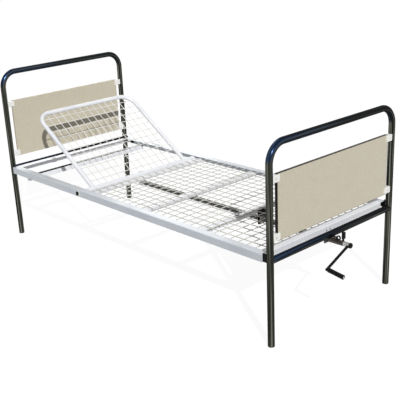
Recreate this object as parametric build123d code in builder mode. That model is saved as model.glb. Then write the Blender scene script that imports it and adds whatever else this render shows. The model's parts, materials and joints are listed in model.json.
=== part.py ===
from build123d import *
from math import cos, radians, sin, sqrt
import os

# Adjustable bed: two bent tube end frames with panels, a bolted mesh base between them and a hinged
# backrest that a crank at the foot raises through a lead screw and a push tube.
# +X runs from the head to the foot, +Y to the left side of someone lying on it, +Z up. Millimetres.
# The origin is on the floor, in the middle of the whole outline.

# ---- end frames ----
frame_spacing = 2096  # head frame to foot frame, tube centre to tube centre
leg_spacing = 870  # leg to leg across the bed, tube centre to tube centre
head_height = 1008  # centreline of the head frame's top run
foot_height = 923
leg_d = 32
leg_wall = 1.5
leg_bend = 88  # centreline radius of the top corners
tip_thickness = 3
tip_stub = 20
crossbar_d = 32
crossbar_wall = 1.5
head_crossbar_drop = 9.5  # of its centreline below the deck
foot_crossbar_drop = 27

# ---- panels and their corner clips ----
panel_gap = 26  # from each leg to the panel's side
panel_thickness = 15
panel_band = 1.5
head_panel_lift = 60  # of its lower edge above the deck
head_panel_drop = 169  # of its upper edge below the frame's top run
foot_panel_lift = 54
foot_panel_drop = 131
clip_overlap = 12  # of the panel, sideways
clip_height = 32
clip_inset = 4  # from the panel's upper or lower edge
clip_wall = 4
clip_round = 2.5
clip_screw_d = 4
clip_screw_head_d = 8
clip_screw_head = 2

# ---- mesh base ----
deck_height = 438
rail_width = 40
rail_depth = 37
rail_wall = 3
rail_bend = 3.5
head_end_rail_gap = 1  # from the round crossbar to the end rail's upright flange
foot_end_rail_gap = 14
head_rail_gap = 22  # from the leg's centre to the end of a side rail
foot_rail_gap = 32
bracket_wall = 4
bracket_overlap = 58  # of the side rail, lengthways
bracket_height = 31
bracket_lug_rise = 6  # of the lug above the deck
bolt_d = 8
bolt_head_af = 13
bolt_head = 5
bolt_slack = 0.2
bolt_pitch = 30
bolt_edge = 14
cross_angle_width = 28
cross_angle_depth = 22
hinge_crossbar_offset = 59  # from the hinge axis towards the foot
middle_crossbar_offset = 498
lower_crossbar_offset = 930
wire_d = 4
long_wire_count = 15
cross_wire_count = 25
wire_end_gap = 4
cross_wire_tuck = 10  # of the last cross wire under the foot end rail
rest_bar_offset = 550  # from the hinge axis towards the head
rest_bar_depth = 25
rubber_width = 20
rubber_thickness = 3
rubber_length = 704

# ---- backrest ----
hinge_from_head = 705
hinge_drop = 18.5  # of the hinge axis below the deck
backrest_angle = 34  # above level, as the bed stands
raise_travel = 37.5  # from there to the highest position
backrest_length = 616
backrest_width = 688  # side tube to side tube, centre to centre
backrest_d = 25
backrest_wall = 1.5
hinge_tube_step = 1.5  # of the hinge tube's radius over the frame tube's
backrest_bend = 80
backrest_long_wires = 13
backrest_cross_wires = 11
rest_gap = 0.3  # between the lowered backrest and its rubber
pivot_d = 10
pivot_fit = 0.05  # running clearance on the radius
pivot_head_d = 22
pivot_head = 5
bush_d = 14
bush_flange_d = 30
bush_flange = 3
bush_spacer = 2
face_gap = 0.3  # between faces that turn against each other
plug_length = 25
plug_slack = 0.1

# ---- lift lever, push tube and lead screw ----
lever_length = 49  # hinge axis to lever pin
lever_wall = 5
lever_width = 38
lever_gap = 1.5
lever_pin_d = 10
lever_pin_head_d = 16
lever_pin_head = 3
eye_thickness = 8
eye_play = 1.2
eye_rim = 8
eye_neck = 18
push_tube_d = 27
push_tube_wall = 2
push_tube_start = 35  # from the hinge axis
push_tube_to_frame = 142  # from its foot end to the foot frame's plane
nut_flange = 4
nut_length = 30
screw_d = 14
screw_fit = 0.05
screw_reach = 160  # inside the push tube
hanger_wall = 4
hanger_width = 56
hanger_rim = 8
hanger_lap = 18  # over the crossbar's upright flange
hanger_bolt_d = 6
hanger_bolt_af = 10
hanger_bolt_head = 4
hanger_bolt_pitch = 32
guide_bush_wall = 3.5
guide_bush_length = 16

# ---- crank ----
bearing_d = 24
bearing_wall = 3
bearing_inside = 62  # from the foot frame's plane towards the head
bearing_outside = 60
bearing_flange = 2
bearing_bush_length = 18
plate_wall = 5
plate_width = 46
plate_rim = 5
plate_lap = 28  # over the end rail's upright flange
plate_bolt_pitch = 26
gusset_wall = 6
collar_d = 26
collar_length = 8
eye_ring_d = 23
eye_ring_hole = 12
eye_ring_wall = 5
eye_ring_gap = 1
eye_ring_sink = 2
clip_block_length = 12
clip_block_width = 14
clip_block_height = 45
clip_block_round = 2
clip_head_height = 32  # of the block's wide upper part
clip_stem_length = 8
clip_stem_width = 7
clip_stem_inset = 2  # from the bearing tube's outer end
hub_d = 26
hub_length = 38
hub_pin_d = 5
hub_pin_from_end = 31
shaft_end_gap = 3
arm_d = 13
arm_length = 168
arm_angle = 23.5  # below level, on the right side
arm_from_hub = 22
arm_end = 9
spindle_d = 8
spindle_fit = 0.05
grip_d = 22
grip_length = 92
grip_flare = 8  # degrees that the grip leans out along the arm
grip_round = 2.5
grip_gap = 0.5
retainer_d = 10
retainer_length = 2

# ---- derived places ----
leg_r = leg_d / 2
leg_y = leg_spacing / 2
hub_from_frame = bearing_outside + bearing_flange + face_gap
arm_from_frame = hub_from_frame + arm_from_hub
flare_cos = cos(radians(grip_flare))
flare_sin = sin(radians(grip_flare))
grip_start = (arm_d / 2 + grip_gap + grip_d / 2 * flare_sin) / flare_cos  # from the elbow along the grip
grip_end = grip_start + grip_length
retainer_end = grip_end + face_gap + retainer_length
retainer_round = retainer_length / 2
retainer_rim = retainer_d / 2 - retainer_round
crank_reach = (
    arm_from_frame + (retainer_end - retainer_round) * flare_cos + retainer_rim * flare_sin + retainer_round
)
head_x = leg_r - (leg_r + frame_spacing + crank_reach) / 2
foot_x = head_x + frame_spacing
hinge_x = head_x + hinge_from_head
head_crossbar_height = deck_height - head_crossbar_drop
foot_crossbar_height = deck_height - foot_crossbar_drop
hinge_height = deck_height - hinge_drop
drive_height = hinge_height - lever_length
panel_width = leg_spacing - leg_d - 2 * panel_gap
panel_half = panel_width / 2
head_panel_base = deck_height + head_panel_lift
head_panel_height = head_height - head_panel_drop - head_panel_base
foot_panel_base = deck_height + foot_panel_lift
foot_panel_height = foot_height - foot_panel_drop - foot_panel_base
rail_face = leg_y + leg_r  # outer face of a side rail
rail_inside = rail_face - rail_wall  # inner face of its upright flange
flange_edge = rail_face - rail_width  # inner edge of its top flange
flange_under = deck_height - rail_wall
head_end_face = crossbar_d / 2 + head_end_rail_gap  # from a frame's plane to the end rail
foot_end_face = crossbar_d / 2 + foot_end_rail_gap
cross_wire_z = flange_under - wire_d / 2
long_wire_z = cross_wire_z - wire_d
cross_top = long_wire_z - wire_d / 2
bolt_z = deck_height - rail_depth / 2 - rail_wall
rest_top = hinge_height - backrest_d / 2 - rest_gap - rubber_thickness
hinge_tube_half = rail_inside - bush_spacer - face_gap
backrest_r = backrest_d / 2
hinge_tube_r = backrest_r + hinge_tube_step
inner_bend = backrest_bend - backrest_r
pin_rise = lever_length * (1 - cos(radians(raise_travel)))
lever_y = eye_thickness / 2 + lever_gap + lever_wall / 2
push_start_x = hinge_x + push_tube_start
push_end_x = foot_x - push_tube_to_frame
push_tube_length = push_end_x - push_start_x
bearing_in_x = foot_x - bearing_inside
bearing_out_x = foot_x + bearing_outside
hub_x = foot_x + hub_from_frame
arm_x = foot_x + arm_from_frame
plate_x = foot_x - foot_end_face - rail_wall - plate_wall / 2

backrest_plane = Plane(
    origin=(hinge_x, 0, hinge_height),
    x_dir=(-cos(radians(backrest_angle)), 0, sin(radians(backrest_angle))),
    z_dir=(sin(radians(backrest_angle)), 0, cos(radians(backrest_angle))),
)
arm_direction = Vector(0, -cos(radians(arm_angle)), -sin(radians(arm_angle)))
grip_plane = Plane(
    origin=Vector(arm_x, 0, drive_height) + arm_direction * arm_length,
    x_dir=(0, sin(radians(arm_angle)), -cos(radians(arm_angle))),
    z_dir=Vector(1, 0, 0) * flare_cos + arm_direction * flare_sin,
)

os.makedirs("parts", exist_ok=True)


# ---- small tools ----
along_x = (0, 90, 0)
along_y = (90, 0, 0)


def save(piece, name):
    """Label a finished piece and write it to a file of its own."""
    piece.part.label = name
    export_step(piece.part, f"parts/{name}.step")


def rod_x(radius, length, mode=Mode.ADD):
    """A round bar along X, centred on the current place."""
    Cylinder(radius, length, rotation=along_x, mode=mode)


def rod_y(radius, length, mode=Mode.ADD):
    """A round bar along Y, centred on the current place."""
    Cylinder(radius, length, rotation=along_y, mode=mode)


def hex_head(across_flats, length, turn):
    """A hexagonal head centred on the current place, turned to lie along the wanted axis."""
    with BuildPart(mode=Mode.PRIVATE) as prism:
        with BuildSketch(Plane.XY.offset(-length / 2)):
            RegularPolygon(across_flats / sqrt(3), 6)
        extrude(amount=length)
    add(prism.part, rotation=turn)


def angle_profile(corner, run, drop, wall):
    """A folded angle's section: a top flange from the corner and an upright one down from it."""
    x, top = corner
    thick = wall if run > 0 else -wall
    profile = Polygon(
        (x, top),
        (x + run, top),
        (x + run, top - wall),
        (x + thick, top - wall),
        (x + thick, top - drop),
        (x, top - drop),
        align=None,
    )
    fillet(profile.vertices().group_by(Axis.X)[0 if run > 0 else -1].sort_by(Axis.Y)[-1], rail_bend)


# ---- end frames ----
def tube_frame(name, x, top):
    """One bent tube: up a leg, across the top and down the other leg."""
    with BuildPart() as frame:
        with BuildLine(Plane.YZ.offset(x)) as path:
            FilletPolyline(
                (-leg_y, tip_thickness), (-leg_y, top), (leg_y, top), (leg_y, tip_thickness), radius=leg_bend
            )
        with BuildSketch(Plane(path.line @ 0, z_dir=path.line % 0)):
            Circle(leg_r)
            Circle(leg_r - leg_wall, mode=Mode.SUBTRACT)
        sweep()
    save(frame, name)


def round_crossbar(name, x, height):
    """A tube between the legs, its ends cut to sit on them."""
    with BuildPart() as bar:
        with Locations((x, 0, height)):
            rod_y(crossbar_d / 2, leg_spacing)
            rod_y(crossbar_d / 2 - crossbar_wall, leg_spacing, Mode.SUBTRACT)
        with Locations((x, -leg_y, height), (x, leg_y, height)):
            Cylinder(leg_r, 2 * crossbar_d, mode=Mode.SUBTRACT)
    save(bar, name)


tube_frame("head_tube_frame", head_x, head_height)
tube_frame("foot_tube_frame", foot_x, foot_height)
round_crossbar("head_crossbar", head_x, head_crossbar_height)
round_crossbar("foot_crossbar", foot_x, foot_crossbar_height)

leg_places = [(x, y) for x in (head_x, foot_x) for y in (-leg_y, leg_y)]
with BuildPart() as leg_tips:
    with Locations([(x, y, 0) for x, y in leg_places]):
        Cylinder(leg_r, tip_thickness, align=(Align.CENTER, Align.CENTER, Align.MIN))
        Cylinder(leg_r - leg_wall - plug_slack, tip_stub, align=(Align.CENTER, Align.CENTER, Align.MIN))
save(leg_tips, "leg_tips")


# ---- panels ----
def panel(name, x, base, height):
    """A board with a glued edge band all round it."""
    middle = (x, 0, base + height / 2)
    with BuildPart() as board:
        with Locations(middle):
            Box(panel_thickness, panel_width - 2 * panel_band, height - 2 * panel_band)
    save(board, name)
    with BuildPart() as band:
        with Locations(middle):
            Box(panel_thickness, panel_width, height)
            Box(panel_thickness, panel_width - 2 * panel_band, height - 2 * panel_band, mode=Mode.SUBTRACT)
    save(band, name + "_edge_band")


def panel_clips(name, x, base, height):
    """Moulded clips near the corners: each wraps the panel's side edge and sits on the leg with a saddle."""
    inner_y = panel_half - clip_overlap
    depth = panel_thickness + 2 * clip_wall
    with BuildPart() as clips:
        for side in (-1, 1):
            for corner_z, inward in ((base, 1), (base + height, -1)):
                middle_y = side * (inner_y + leg_y) / 2
                middle_z = corner_z + inward * (clip_height / 2 + clip_inset)
                with Locations((x, middle_y, middle_z)):
                    Box(depth, leg_y - inner_y, clip_height)
        upright = clips.edges().filter_by(Axis.Y)
        fillet(upright, clip_round)
        with Locations((x, 0, base + height / 2)):
            Box(panel_thickness, panel_width, height, mode=Mode.SUBTRACT)
        with Locations((x, -leg_y, base), (x, leg_y, base)):
            Cylinder(leg_r, 4 * height, mode=Mode.SUBTRACT)
        with Locations(clip_screw_places(x, base, height)):
            rod_x(clip_screw_d / 2 + bolt_slack, 2 * depth, Mode.SUBTRACT)
    save(clips, name)


def clip_screw_places(x, base, height):
    """Where a screw goes through each clip beside the panel's edge."""
    y = (panel_half + leg_y - leg_r) / 2
    rise = clip_height / 2 + clip_inset
    return [(x, side * y, z) for side in (-1, 1) for z in (base + rise, base + height - rise)]


def clip_screws(name, x, base, height, outward):
    """Pan head screws through the clips, heads on the outside of the bed."""
    depth = panel_thickness + 2 * clip_wall
    with BuildPart() as screws:
        with Locations(clip_screw_places(x, base, height)):
            rod_x(clip_screw_d / 2, depth)
        heads = clip_screw_places(x + outward * (depth + clip_screw_head) / 2, base, height)
        with Locations(heads):
            rod_x(clip_screw_head_d / 2, clip_screw_head)
    save(screws, name)


panel("head_panel", head_x, head_panel_base, head_panel_height)
panel("foot_panel", foot_x, foot_panel_base, foot_panel_height)
panel_clips("head_panel_clips", head_x, head_panel_base, head_panel_height)
panel_clips("foot_panel_clips", foot_x, foot_panel_base, foot_panel_height)
clip_screws("head_clip_screws", head_x, head_panel_base, head_panel_height, -1)
clip_screws("foot_clip_screws", foot_x, foot_panel_base, foot_panel_height, 1)

# ---- mesh base: rails and their corner brackets ----
corners = [(head_x, 1, head_rail_gap), (foot_x, -1, foot_rail_gap)]  # leg plane, way inward, rail gap
corner_bolt_places = [
    (x + inward * (gap + bolt_edge + step * bolt_pitch), bolt_z)
    for x, inward, gap in corners
    for step in (0, 1)
]


def side_rail(name, side):
    """A side rail with its top flange inward, holed for the pivot bush."""
    start = head_x + head_rail_gap
    with BuildPart() as rail:
        with BuildSketch(Plane.YZ.offset(start)):
            angle_profile((side * rail_face, deck_height), -side * rail_width, rail_depth, rail_wall)
        extrude(amount=foot_x - foot_rail_gap - start)
        with Locations((hinge_x, side * rail_face, hinge_height)):
            rod_y(bush_d / 2 + bolt_slack, 4 * rail_wall, Mode.SUBTRACT)
    save(rail, name)


def cross_angle(name, x, top, run, drop, half_length, bolts=()):
    """An angle across the bed, its upright flange at x and its top flange running from there."""
    with BuildPart() as bar:
        with BuildSketch(Plane.XZ):
            angle_profile((x, top), run, drop, rail_wall)
        extrude(amount=half_length, both=True)
        for bolt_x, bolt_y, height, diameter in bolts:
            with Locations((bolt_x, bolt_y, height)):
                rod_x(diameter / 2 + bolt_slack, 4 * rail_wall, Mode.SUBTRACT)
    save(bar, name)


side_rail("right_side_rail", -1)
side_rail("left_side_rail", 1)

plate_bolts = [(side * plate_bolt_pitch / 2, bolt_z) for side in (-1, 1)]
end_bolts = [(foot_x - foot_end_face, y, z, bolt_d) for y, z in plate_bolts]
cross_angle("head_end_rail", head_x + head_end_face, deck_height, rail_width, rail_depth, flange_edge)
cross_angle("foot_end_rail", foot_x - foot_end_face, deck_height, -rail_width, rail_depth, flange_edge, end_bolts)

bracket_y = rail_inside - bracket_wall / 2
with BuildPart() as corner_brackets:
    for leg_x, inward, gap in corners:
        length = gap + bracket_overlap
        saddle = sqrt(leg_r**2 - (rail_inside - bracket_wall - leg_y) ** 2)
        lug_length = gap - saddle - bolt_slack
        lug_top = deck_height + bracket_lug_rise
        lug_base = flange_under - bracket_height
        for side in (-1, 1):
            with Locations((leg_x + inward * length / 2, side * bracket_y, flange_under - bracket_height / 2)):
                Box(length, bracket_wall, bracket_height)
            lug_middle = leg_x + inward * (gap - bolt_slack - lug_length / 2)
            with Locations((lug_middle, side * bracket_y, (lug_top + lug_base) / 2)):
                Box(lug_length, bracket_wall, lug_top - lug_base)
            with Locations((leg_x, side * leg_y, deck_height)):
                Cylinder(leg_r, 4 * bracket_height, mode=Mode.SUBTRACT)
    with Locations([(x, side * bracket_y, z) for x, z in corner_bolt_places for side in (-1, 1)]):
        rod_y(bolt_d / 2 + bolt_slack, 2 * bracket_wall, Mode.SUBTRACT)
save(corner_brackets, "corner_brackets")

# Weld studs on the rails' inner faces, each with its nut, so nothing shows on the outer faces.
with BuildPart() as corner_bolts:
    for side in (-1, 1):
        with Locations([(x, side * bracket_y, z) for x, z in corner_bolt_places]):
            rod_y(bolt_d / 2, bracket_wall)
        nut_y = rail_inside - bracket_wall - bolt_head / 2
        with Locations([(x, side * nut_y, z) for x, z in corner_bolt_places]):
            hex_head(bolt_head_af, bolt_head, along_y)
save(corner_bolts, "corner_bolts")

# ---- mesh base: crossbars and wires ----
hanger_bar_x = hinge_x + lower_crossbar_offset + cross_angle_width / 2
hanger_x = hanger_bar_x + hanger_wall / 2
hanger_bolt_z = cross_top - cross_angle_depth / 2 - rail_wall
hanger_bolt_places = [(side * hanger_bolt_pitch / 2, hanger_bolt_z) for side in (-1, 1)]
hanger_holes = [(hanger_bar_x, y, z, hanger_bolt_d) for y, z in hanger_bolt_places]
for bar_name, offset_x, holes in (
    ("hinge_crossbar", hinge_crossbar_offset, ()),
    ("middle_crossbar", middle_crossbar_offset, ()),
    ("lower_crossbar", lower_crossbar_offset, hanger_holes),
):
    flange_x = hinge_x + offset_x + cross_angle_width / 2
    cross_angle(bar_name, flange_x, cross_top, -cross_angle_width, cross_angle_depth, rail_inside, holes)

rest_bar_x = hinge_x - rest_bar_offset + rail_width / 2
cross_angle("backrest_rest_bar", rest_bar_x, rest_top, -rail_width, rest_bar_depth, rail_inside)
with BuildPart() as rest_bar_rubber:
    with Locations((rest_bar_x - rail_width / 2, 0, rest_top + rubber_thickness / 2)):
        Box(rubber_width, rubber_length, rubber_thickness)
    fillet(rest_bar_rubber.edges().filter_by(Axis.Y).group_by(Axis.Z)[-1], rubber_thickness / 3)
save(rest_bar_rubber, "rest_bar_rubber")

mesh_start = hinge_x + hinge_crossbar_offset + cross_angle_width / 2
mesh_end = foot_x - foot_end_face - rail_width + cross_wire_tuck
long_start = hinge_x + hinge_crossbar_offset - cross_angle_width / 2 + wire_end_gap
long_end = plate_x - plate_wall / 2 - wire_end_gap
long_pitch = 2 * flange_edge / (long_wire_count + 1)
with BuildPart() as deck_long_wires:
    with Locations(((long_start + long_end) / 2, 0, long_wire_z)):
        with GridLocations(1, long_pitch, 1, long_wire_count):
            rod_x(wire_d / 2, long_end - long_start)
save(deck_long_wires, "deck_long_wires")

cross_pitch = (mesh_end - mesh_start) / (cross_wire_count - 1)
with BuildPart() as deck_cross_wires:
    with Locations(((mesh_start + mesh_end) / 2, 0, cross_wire_z)):
        with GridLocations(cross_pitch, 1, cross_wire_count, 1):
            rod_y(wire_d / 2, 2 * (rail_inside - bracket_wall - wire_end_gap))
save(deck_cross_wires, "deck_cross_wires")

# ---- backrest ----
with BuildPart() as backrest_tube_frame:
    with BuildLine(backrest_plane) as loop:
        half = backrest_width / 2
        FilletPolyline(
            (0, -half), (backrest_length, -half), (backrest_length, half), (0, half), radius=backrest_bend
        )
    with BuildSketch(Plane(loop.line @ 0, z_dir=loop.line % 0)):
        Circle(backrest_r)
        Circle(backrest_r - backrest_wall, mode=Mode.SUBTRACT)
    sweep()
    with Locations((hinge_x, 0, hinge_height)):
        rod_y(hinge_tube_r, 2 * backrest_width, Mode.SUBTRACT)
save(backrest_tube_frame, "backrest_tube_frame")

with BuildPart() as backrest_hinge_tube:
    with Locations((hinge_x, 0, hinge_height)):
        rod_y(hinge_tube_r, 2 * hinge_tube_half)
        rod_y(hinge_tube_r - backrest_wall, 2 * hinge_tube_half, Mode.SUBTRACT)
save(backrest_hinge_tube, "backrest_hinge_tube")


def reach(straight, offset_past_corner):
    """How far the inside of a rounded corner lets a wire run: the straight part plus its circle."""
    if offset_past_corner <= 0:
        return straight + inner_bend
    return straight + sqrt(inner_bend**2 - offset_past_corner**2)


wire_r = wire_d / 2
with BuildPart(backrest_plane) as backrest_long_wire_set:
    pitch = (backrest_width - backrest_d) / (backrest_long_wires + 1)
    for step in range(backrest_long_wires):
        y = (step - (backrest_long_wires - 1) / 2) * pitch
        past = abs(y) + wire_r - (backrest_width / 2 - backrest_bend)
        top = reach(backrest_length - backrest_bend, past)
        with Locations(((hinge_tube_r + top) / 2, y, -wire_r)):
            rod_x(wire_r, top - hinge_tube_r)
save(backrest_long_wire_set, "backrest_long_wires")

with BuildPart(backrest_plane) as backrest_cross_wire_set:
    pitch = backrest_length / (backrest_cross_wires + 1)
    for step in range(1, backrest_cross_wires + 1):
        past = step * pitch + wire_r - (backrest_length - backrest_bend)
        half = reach(backrest_width / 2 - backrest_bend, past)
        with Locations((step * pitch, 0, wire_r)):
            rod_y(wire_r, 2 * half)
save(backrest_cross_wire_set, "backrest_cross_wires")

with BuildPart() as pivot_bushes:
    for side in (-1, 1):
        barrel = rail_wall + bush_spacer
        with Locations((hinge_x, side * (rail_face - barrel / 2), hinge_height)):
            rod_y(bush_d / 2, barrel)
        with Locations((hinge_x, side * (rail_face + bush_flange / 2), hinge_height)):
            rod_y(bush_flange_d / 2, bush_flange)
        with Locations((hinge_x, side * rail_face, hinge_height)):
            rod_y(pivot_d / 2 + pivot_fit, 4 * barrel, Mode.SUBTRACT)
save(pivot_bushes, "pivot_bushes")

with BuildPart() as hinge_tube_plugs:
    for side in (-1, 1):
        with Locations((hinge_x, side * (hinge_tube_half - plug_length / 2), hinge_height)):
            rod_y(hinge_tube_r - backrest_wall - plug_slack, plug_length)
            rod_y(pivot_d / 2 + plug_slack, plug_length, Mode.SUBTRACT)
save(hinge_tube_plugs, "hinge_tube_plugs")

with BuildPart() as pivot_bolts:
    for side in (-1, 1):
        inner = hinge_tube_half - plug_length
        outer = rail_face + bush_flange + face_gap
        with Locations((hinge_x, side * (inner + outer) / 2, hinge_height)):
            rod_y(pivot_d / 2, outer - inner)
        with Locations((hinge_x, side * (outer + pivot_head / 2), hinge_height)):
            rod_y(pivot_head_d / 2, pivot_head)
    fillet(pivot_bolts.edges().group_by(Axis.Y)[0] + pivot_bolts.edges().group_by(Axis.Y)[-1], pivot_head / 2)
save(pivot_bolts, "pivot_bolts")

# ---- lift lever ----
with BuildPart() as lift_lever_plates:
    for side in (-1, 1):
        with BuildSketch(Plane.XZ.offset(side * lever_y)):
            with Locations((hinge_x, (hinge_height + drive_height) / 2)):
                SlotCenterToCenter(lever_length, lever_width, rotation=90)
            with Locations((hinge_x, hinge_height)):
                Circle(hinge_tube_r, mode=Mode.SUBTRACT)
            with Locations((hinge_x, drive_height)):
                Circle(lever_pin_d / 2 + plug_slack, mode=Mode.SUBTRACT)
        extrude(amount=lever_wall / 2, both=True)
save(lift_lever_plates, "lift_lever_plates")

with BuildPart() as lever_pin:
    span = 2 * lever_y + lever_wall
    with Locations((hinge_x, 0, drive_height)):
        rod_y(lever_pin_d / 2, span)
    for side in (-1, 1):
        with Locations((hinge_x, side * (span + lever_pin_head) / 2, drive_height)):
            rod_y(lever_pin_head_d / 2, lever_pin_head)
save(lever_pin, "lever_pin")

# ---- push tube ----
with BuildPart() as push_tube:
    with Locations(((push_start_x + push_end_x) / 2, 0, drive_height)):
        rod_x(push_tube_d / 2, push_tube_length)
        rod_x(push_tube_d / 2 - push_tube_wall, push_tube_length, Mode.SUBTRACT)
save(push_tube, "push_tube")

push_bore_r = push_tube_d / 2 - push_tube_wall - plug_slack
eye_half = lever_pin_d / 2 + eye_play
with BuildPart() as push_tube_eye:
    with BuildSketch(Plane.XZ):
        with Locations((hinge_x, drive_height + pin_rise / 2)):
            eye_width = 2 * (eye_half + eye_rim)
            RectangleRounded(eye_width, pin_rise + eye_width, eye_rim)
        with Locations(((hinge_x + push_start_x) / 2, drive_height)):
            Rectangle(push_tube_start, eye_neck)
        with Locations((hinge_x, drive_height + pin_rise / 2)):
            SlotCenterToCenter(pin_rise, 2 * eye_half, rotation=90, mode=Mode.SUBTRACT)
    extrude(amount=eye_thickness / 2, both=True)
    with Locations((push_start_x + plug_length / 2, 0, drive_height)):
        rod_x(push_bore_r, plug_length)
save(push_tube_eye, "push_tube_eye")

with BuildPart() as travel_nut:
    with Locations((push_end_x - nut_length / 2, 0, drive_height)):
        rod_x(push_bore_r, nut_length)
    with Locations((push_end_x + nut_flange / 2, 0, drive_height)):
        rod_x(push_tube_d / 2, nut_flange)
    with Locations((push_end_x, 0, drive_height)):
        rod_x(screw_d / 2 + screw_fit, 4 * nut_length, Mode.SUBTRACT)
save(travel_nut, "travel_nut")

guide_r = push_tube_d / 2 + screw_fit
with BuildPart() as push_tube_hanger:
    hanger_top = cross_top - cross_angle_depth + hanger_lap
    hanger_base = drive_height - guide_r - guide_bush_wall - hanger_rim
    with Locations((hanger_x, 0, (hanger_top + hanger_base) / 2)):
        Box(hanger_wall, hanger_width, hanger_top - hanger_base)
    fillet(push_tube_hanger.edges().filter_by(Axis.X), hanger_rim)
    with Locations((hanger_x, 0, drive_height)):
        rod_x(guide_r + guide_bush_wall, 2 * hanger_wall, Mode.SUBTRACT)
    with Locations([(hanger_x, y, z) for y, z in hanger_bolt_places]):
        rod_x(hanger_bolt_d / 2 + bolt_slack, 2 * hanger_wall, Mode.SUBTRACT)
save(push_tube_hanger, "push_tube_hanger")

with BuildPart() as hanger_bolts:
    shank = rail_wall + hanger_wall
    with Locations([(hanger_bar_x - rail_wall + shank / 2, y, z) for y, z in hanger_bolt_places]):
        rod_x(hanger_bolt_d / 2, shank)
    with Locations([(hanger_x + (hanger_wall + hanger_bolt_head) / 2, y, z) for y, z in hanger_bolt_places]):
        hex_head(hanger_bolt_af, hanger_bolt_head, along_x)
save(hanger_bolts, "hanger_bolts")

with BuildPart() as push_tube_guide_bush:
    with Locations((hanger_x, 0, drive_height)):
        rod_x(guide_r + guide_bush_wall, guide_bush_length)
        rod_x(guide_r, guide_bush_length, Mode.SUBTRACT)
save(push_tube_guide_bush, "push_tube_guide_bush")

# ---- crank bearing ----
bearing_middle = (bearing_in_x + bearing_out_x) / 2
with BuildPart() as crank_bearing_tube:
    with Locations((bearing_middle, 0, drive_height)):
        rod_x(bearing_d / 2, bearing_out_x - bearing_in_x)
        rod_x(bearing_d / 2 - bearing_wall, bearing_out_x - bearing_in_x, Mode.SUBTRACT)
save(crank_bearing_tube, "crank_bearing_tube")

with BuildPart() as crank_bearing_bushes:
    for end_x, outward in ((bearing_in_x, -1), (bearing_out_x, 1)):
        with Locations((end_x - outward * bearing_bush_length / 2, 0, drive_height)):
            rod_x(bearing_d / 2 - bearing_wall - plug_slack, bearing_bush_length)
        with Locations((end_x + outward * bearing_flange / 2, 0, drive_height)):
            rod_x(bearing_d / 2, bearing_flange)
        with Locations((end_x, 0, drive_height)):
            rod_x(screw_d / 2 + screw_fit, 3 * bearing_bush_length, Mode.SUBTRACT)
save(crank_bearing_bushes, "crank_bearing_bushes")

with BuildPart() as crank_bracket:
    plate_top = deck_height - rail_depth + plate_lap
    plate_base = drive_height - bearing_d / 2 - plate_rim
    with Locations((plate_x, 0, (plate_top + plate_base) / 2)):
        Box(plate_wall, plate_width, plate_top - plate_base)
    fillet(crank_bracket.edges().filter_by(Axis.X), plate_rim)
    gusset_top = foot_crossbar_height - crossbar_d / 2
    gusset_length = foot_end_face + rail_wall + crossbar_d / 2
    gusset_x = plate_x + (plate_wall + gusset_length) / 2
    with Locations((gusset_x, 0, (gusset_top + drive_height) / 2)):
        Box(gusset_length, gusset_wall, gusset_top - drive_height)
    with Locations((plate_x, 0, drive_height)):
        rod_x(bearing_d / 2, 4 * gusset_length, Mode.SUBTRACT)
    with Locations([(plate_x, y, z) for y, z in plate_bolts]):
        rod_x(bolt_d / 2 + bolt_slack, 2 * plate_wall, Mode.SUBTRACT)
save(crank_bracket, "crank_bracket")

with BuildPart() as crank_bracket_bolts:
    shank = rail_wall + plate_wall
    with Locations([(foot_x - foot_end_face - shank / 2, y, z) for y, z in plate_bolts]):
        rod_x(bolt_d / 2, shank)
    with Locations([(foot_x - foot_end_face - shank - bolt_head / 2, y, z) for y, z in plate_bolts]):
        hex_head(bolt_head_af, bolt_head, along_x)
save(crank_bracket_bolts, "crank_bracket_bolts")

ring_x = foot_x + crossbar_d / 2 + eye_ring_gap + eye_ring_d / 2
with BuildPart() as bracket_eye:
    with Locations((ring_x, 0, drive_height + bearing_d / 2 + eye_ring_d / 2 - eye_ring_sink)):
        rod_y(eye_ring_d / 2, eye_ring_wall)
        rod_y(eye_ring_hole / 2, eye_ring_wall, Mode.SUBTRACT)
    with Locations((ring_x, 0, drive_height)):
        rod_x(bearing_d / 2, 2 * eye_ring_d, Mode.SUBTRACT)
save(bracket_eye, "bracket_eye")

stem_x = bearing_out_x - clip_stem_length / 2 - clip_stem_inset
block_x = stem_x + clip_stem_inset
with BuildPart() as crank_rest_clip:
    block_top = drive_height + bearing_d / 2 + clip_block_height
    with Locations((block_x, 0, block_top - clip_head_height / 2)):
        Box(clip_block_length, clip_block_width, clip_head_height)
    fillet(crank_rest_clip.edges().group_by(Axis.Z)[-1], clip_block_round)
    with Locations((stem_x, 0, (block_top + drive_height) / 2 - clip_block_round)):
        Box(clip_stem_length, clip_stem_width, block_top - drive_height - 2 * clip_block_round)
    with Locations((stem_x, 0, drive_height)):
        rod_x(bearing_d / 2, 2 * clip_block_length, Mode.SUBTRACT)
save(crank_rest_clip, "crank_rest_clip")

# ---- crank ----
screw_start = push_end_x - screw_reach
screw_end = hub_x + hub_length - shaft_end_gap
pin_x = hub_x + hub_length - hub_pin_from_end
with BuildPart() as lead_screw:
    with Locations(((screw_start + screw_end) / 2, 0, drive_height)):
        rod_x(screw_d / 2, screw_end - screw_start)
    with Locations((pin_x, 0, drive_height)):
        rod_y(hub_pin_d / 2 + screw_fit, 2 * screw_d, Mode.SUBTRACT)
save(lead_screw, "lead_screw")

with BuildPart() as thrust_collar:
    with Locations((bearing_in_x - bearing_flange - face_gap - collar_length / 2, 0, drive_height)):
        rod_x(collar_d / 2, collar_length)
        rod_x(screw_d / 2 + screw_fit, collar_length, Mode.SUBTRACT)
save(thrust_collar, "thrust_collar")

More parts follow.
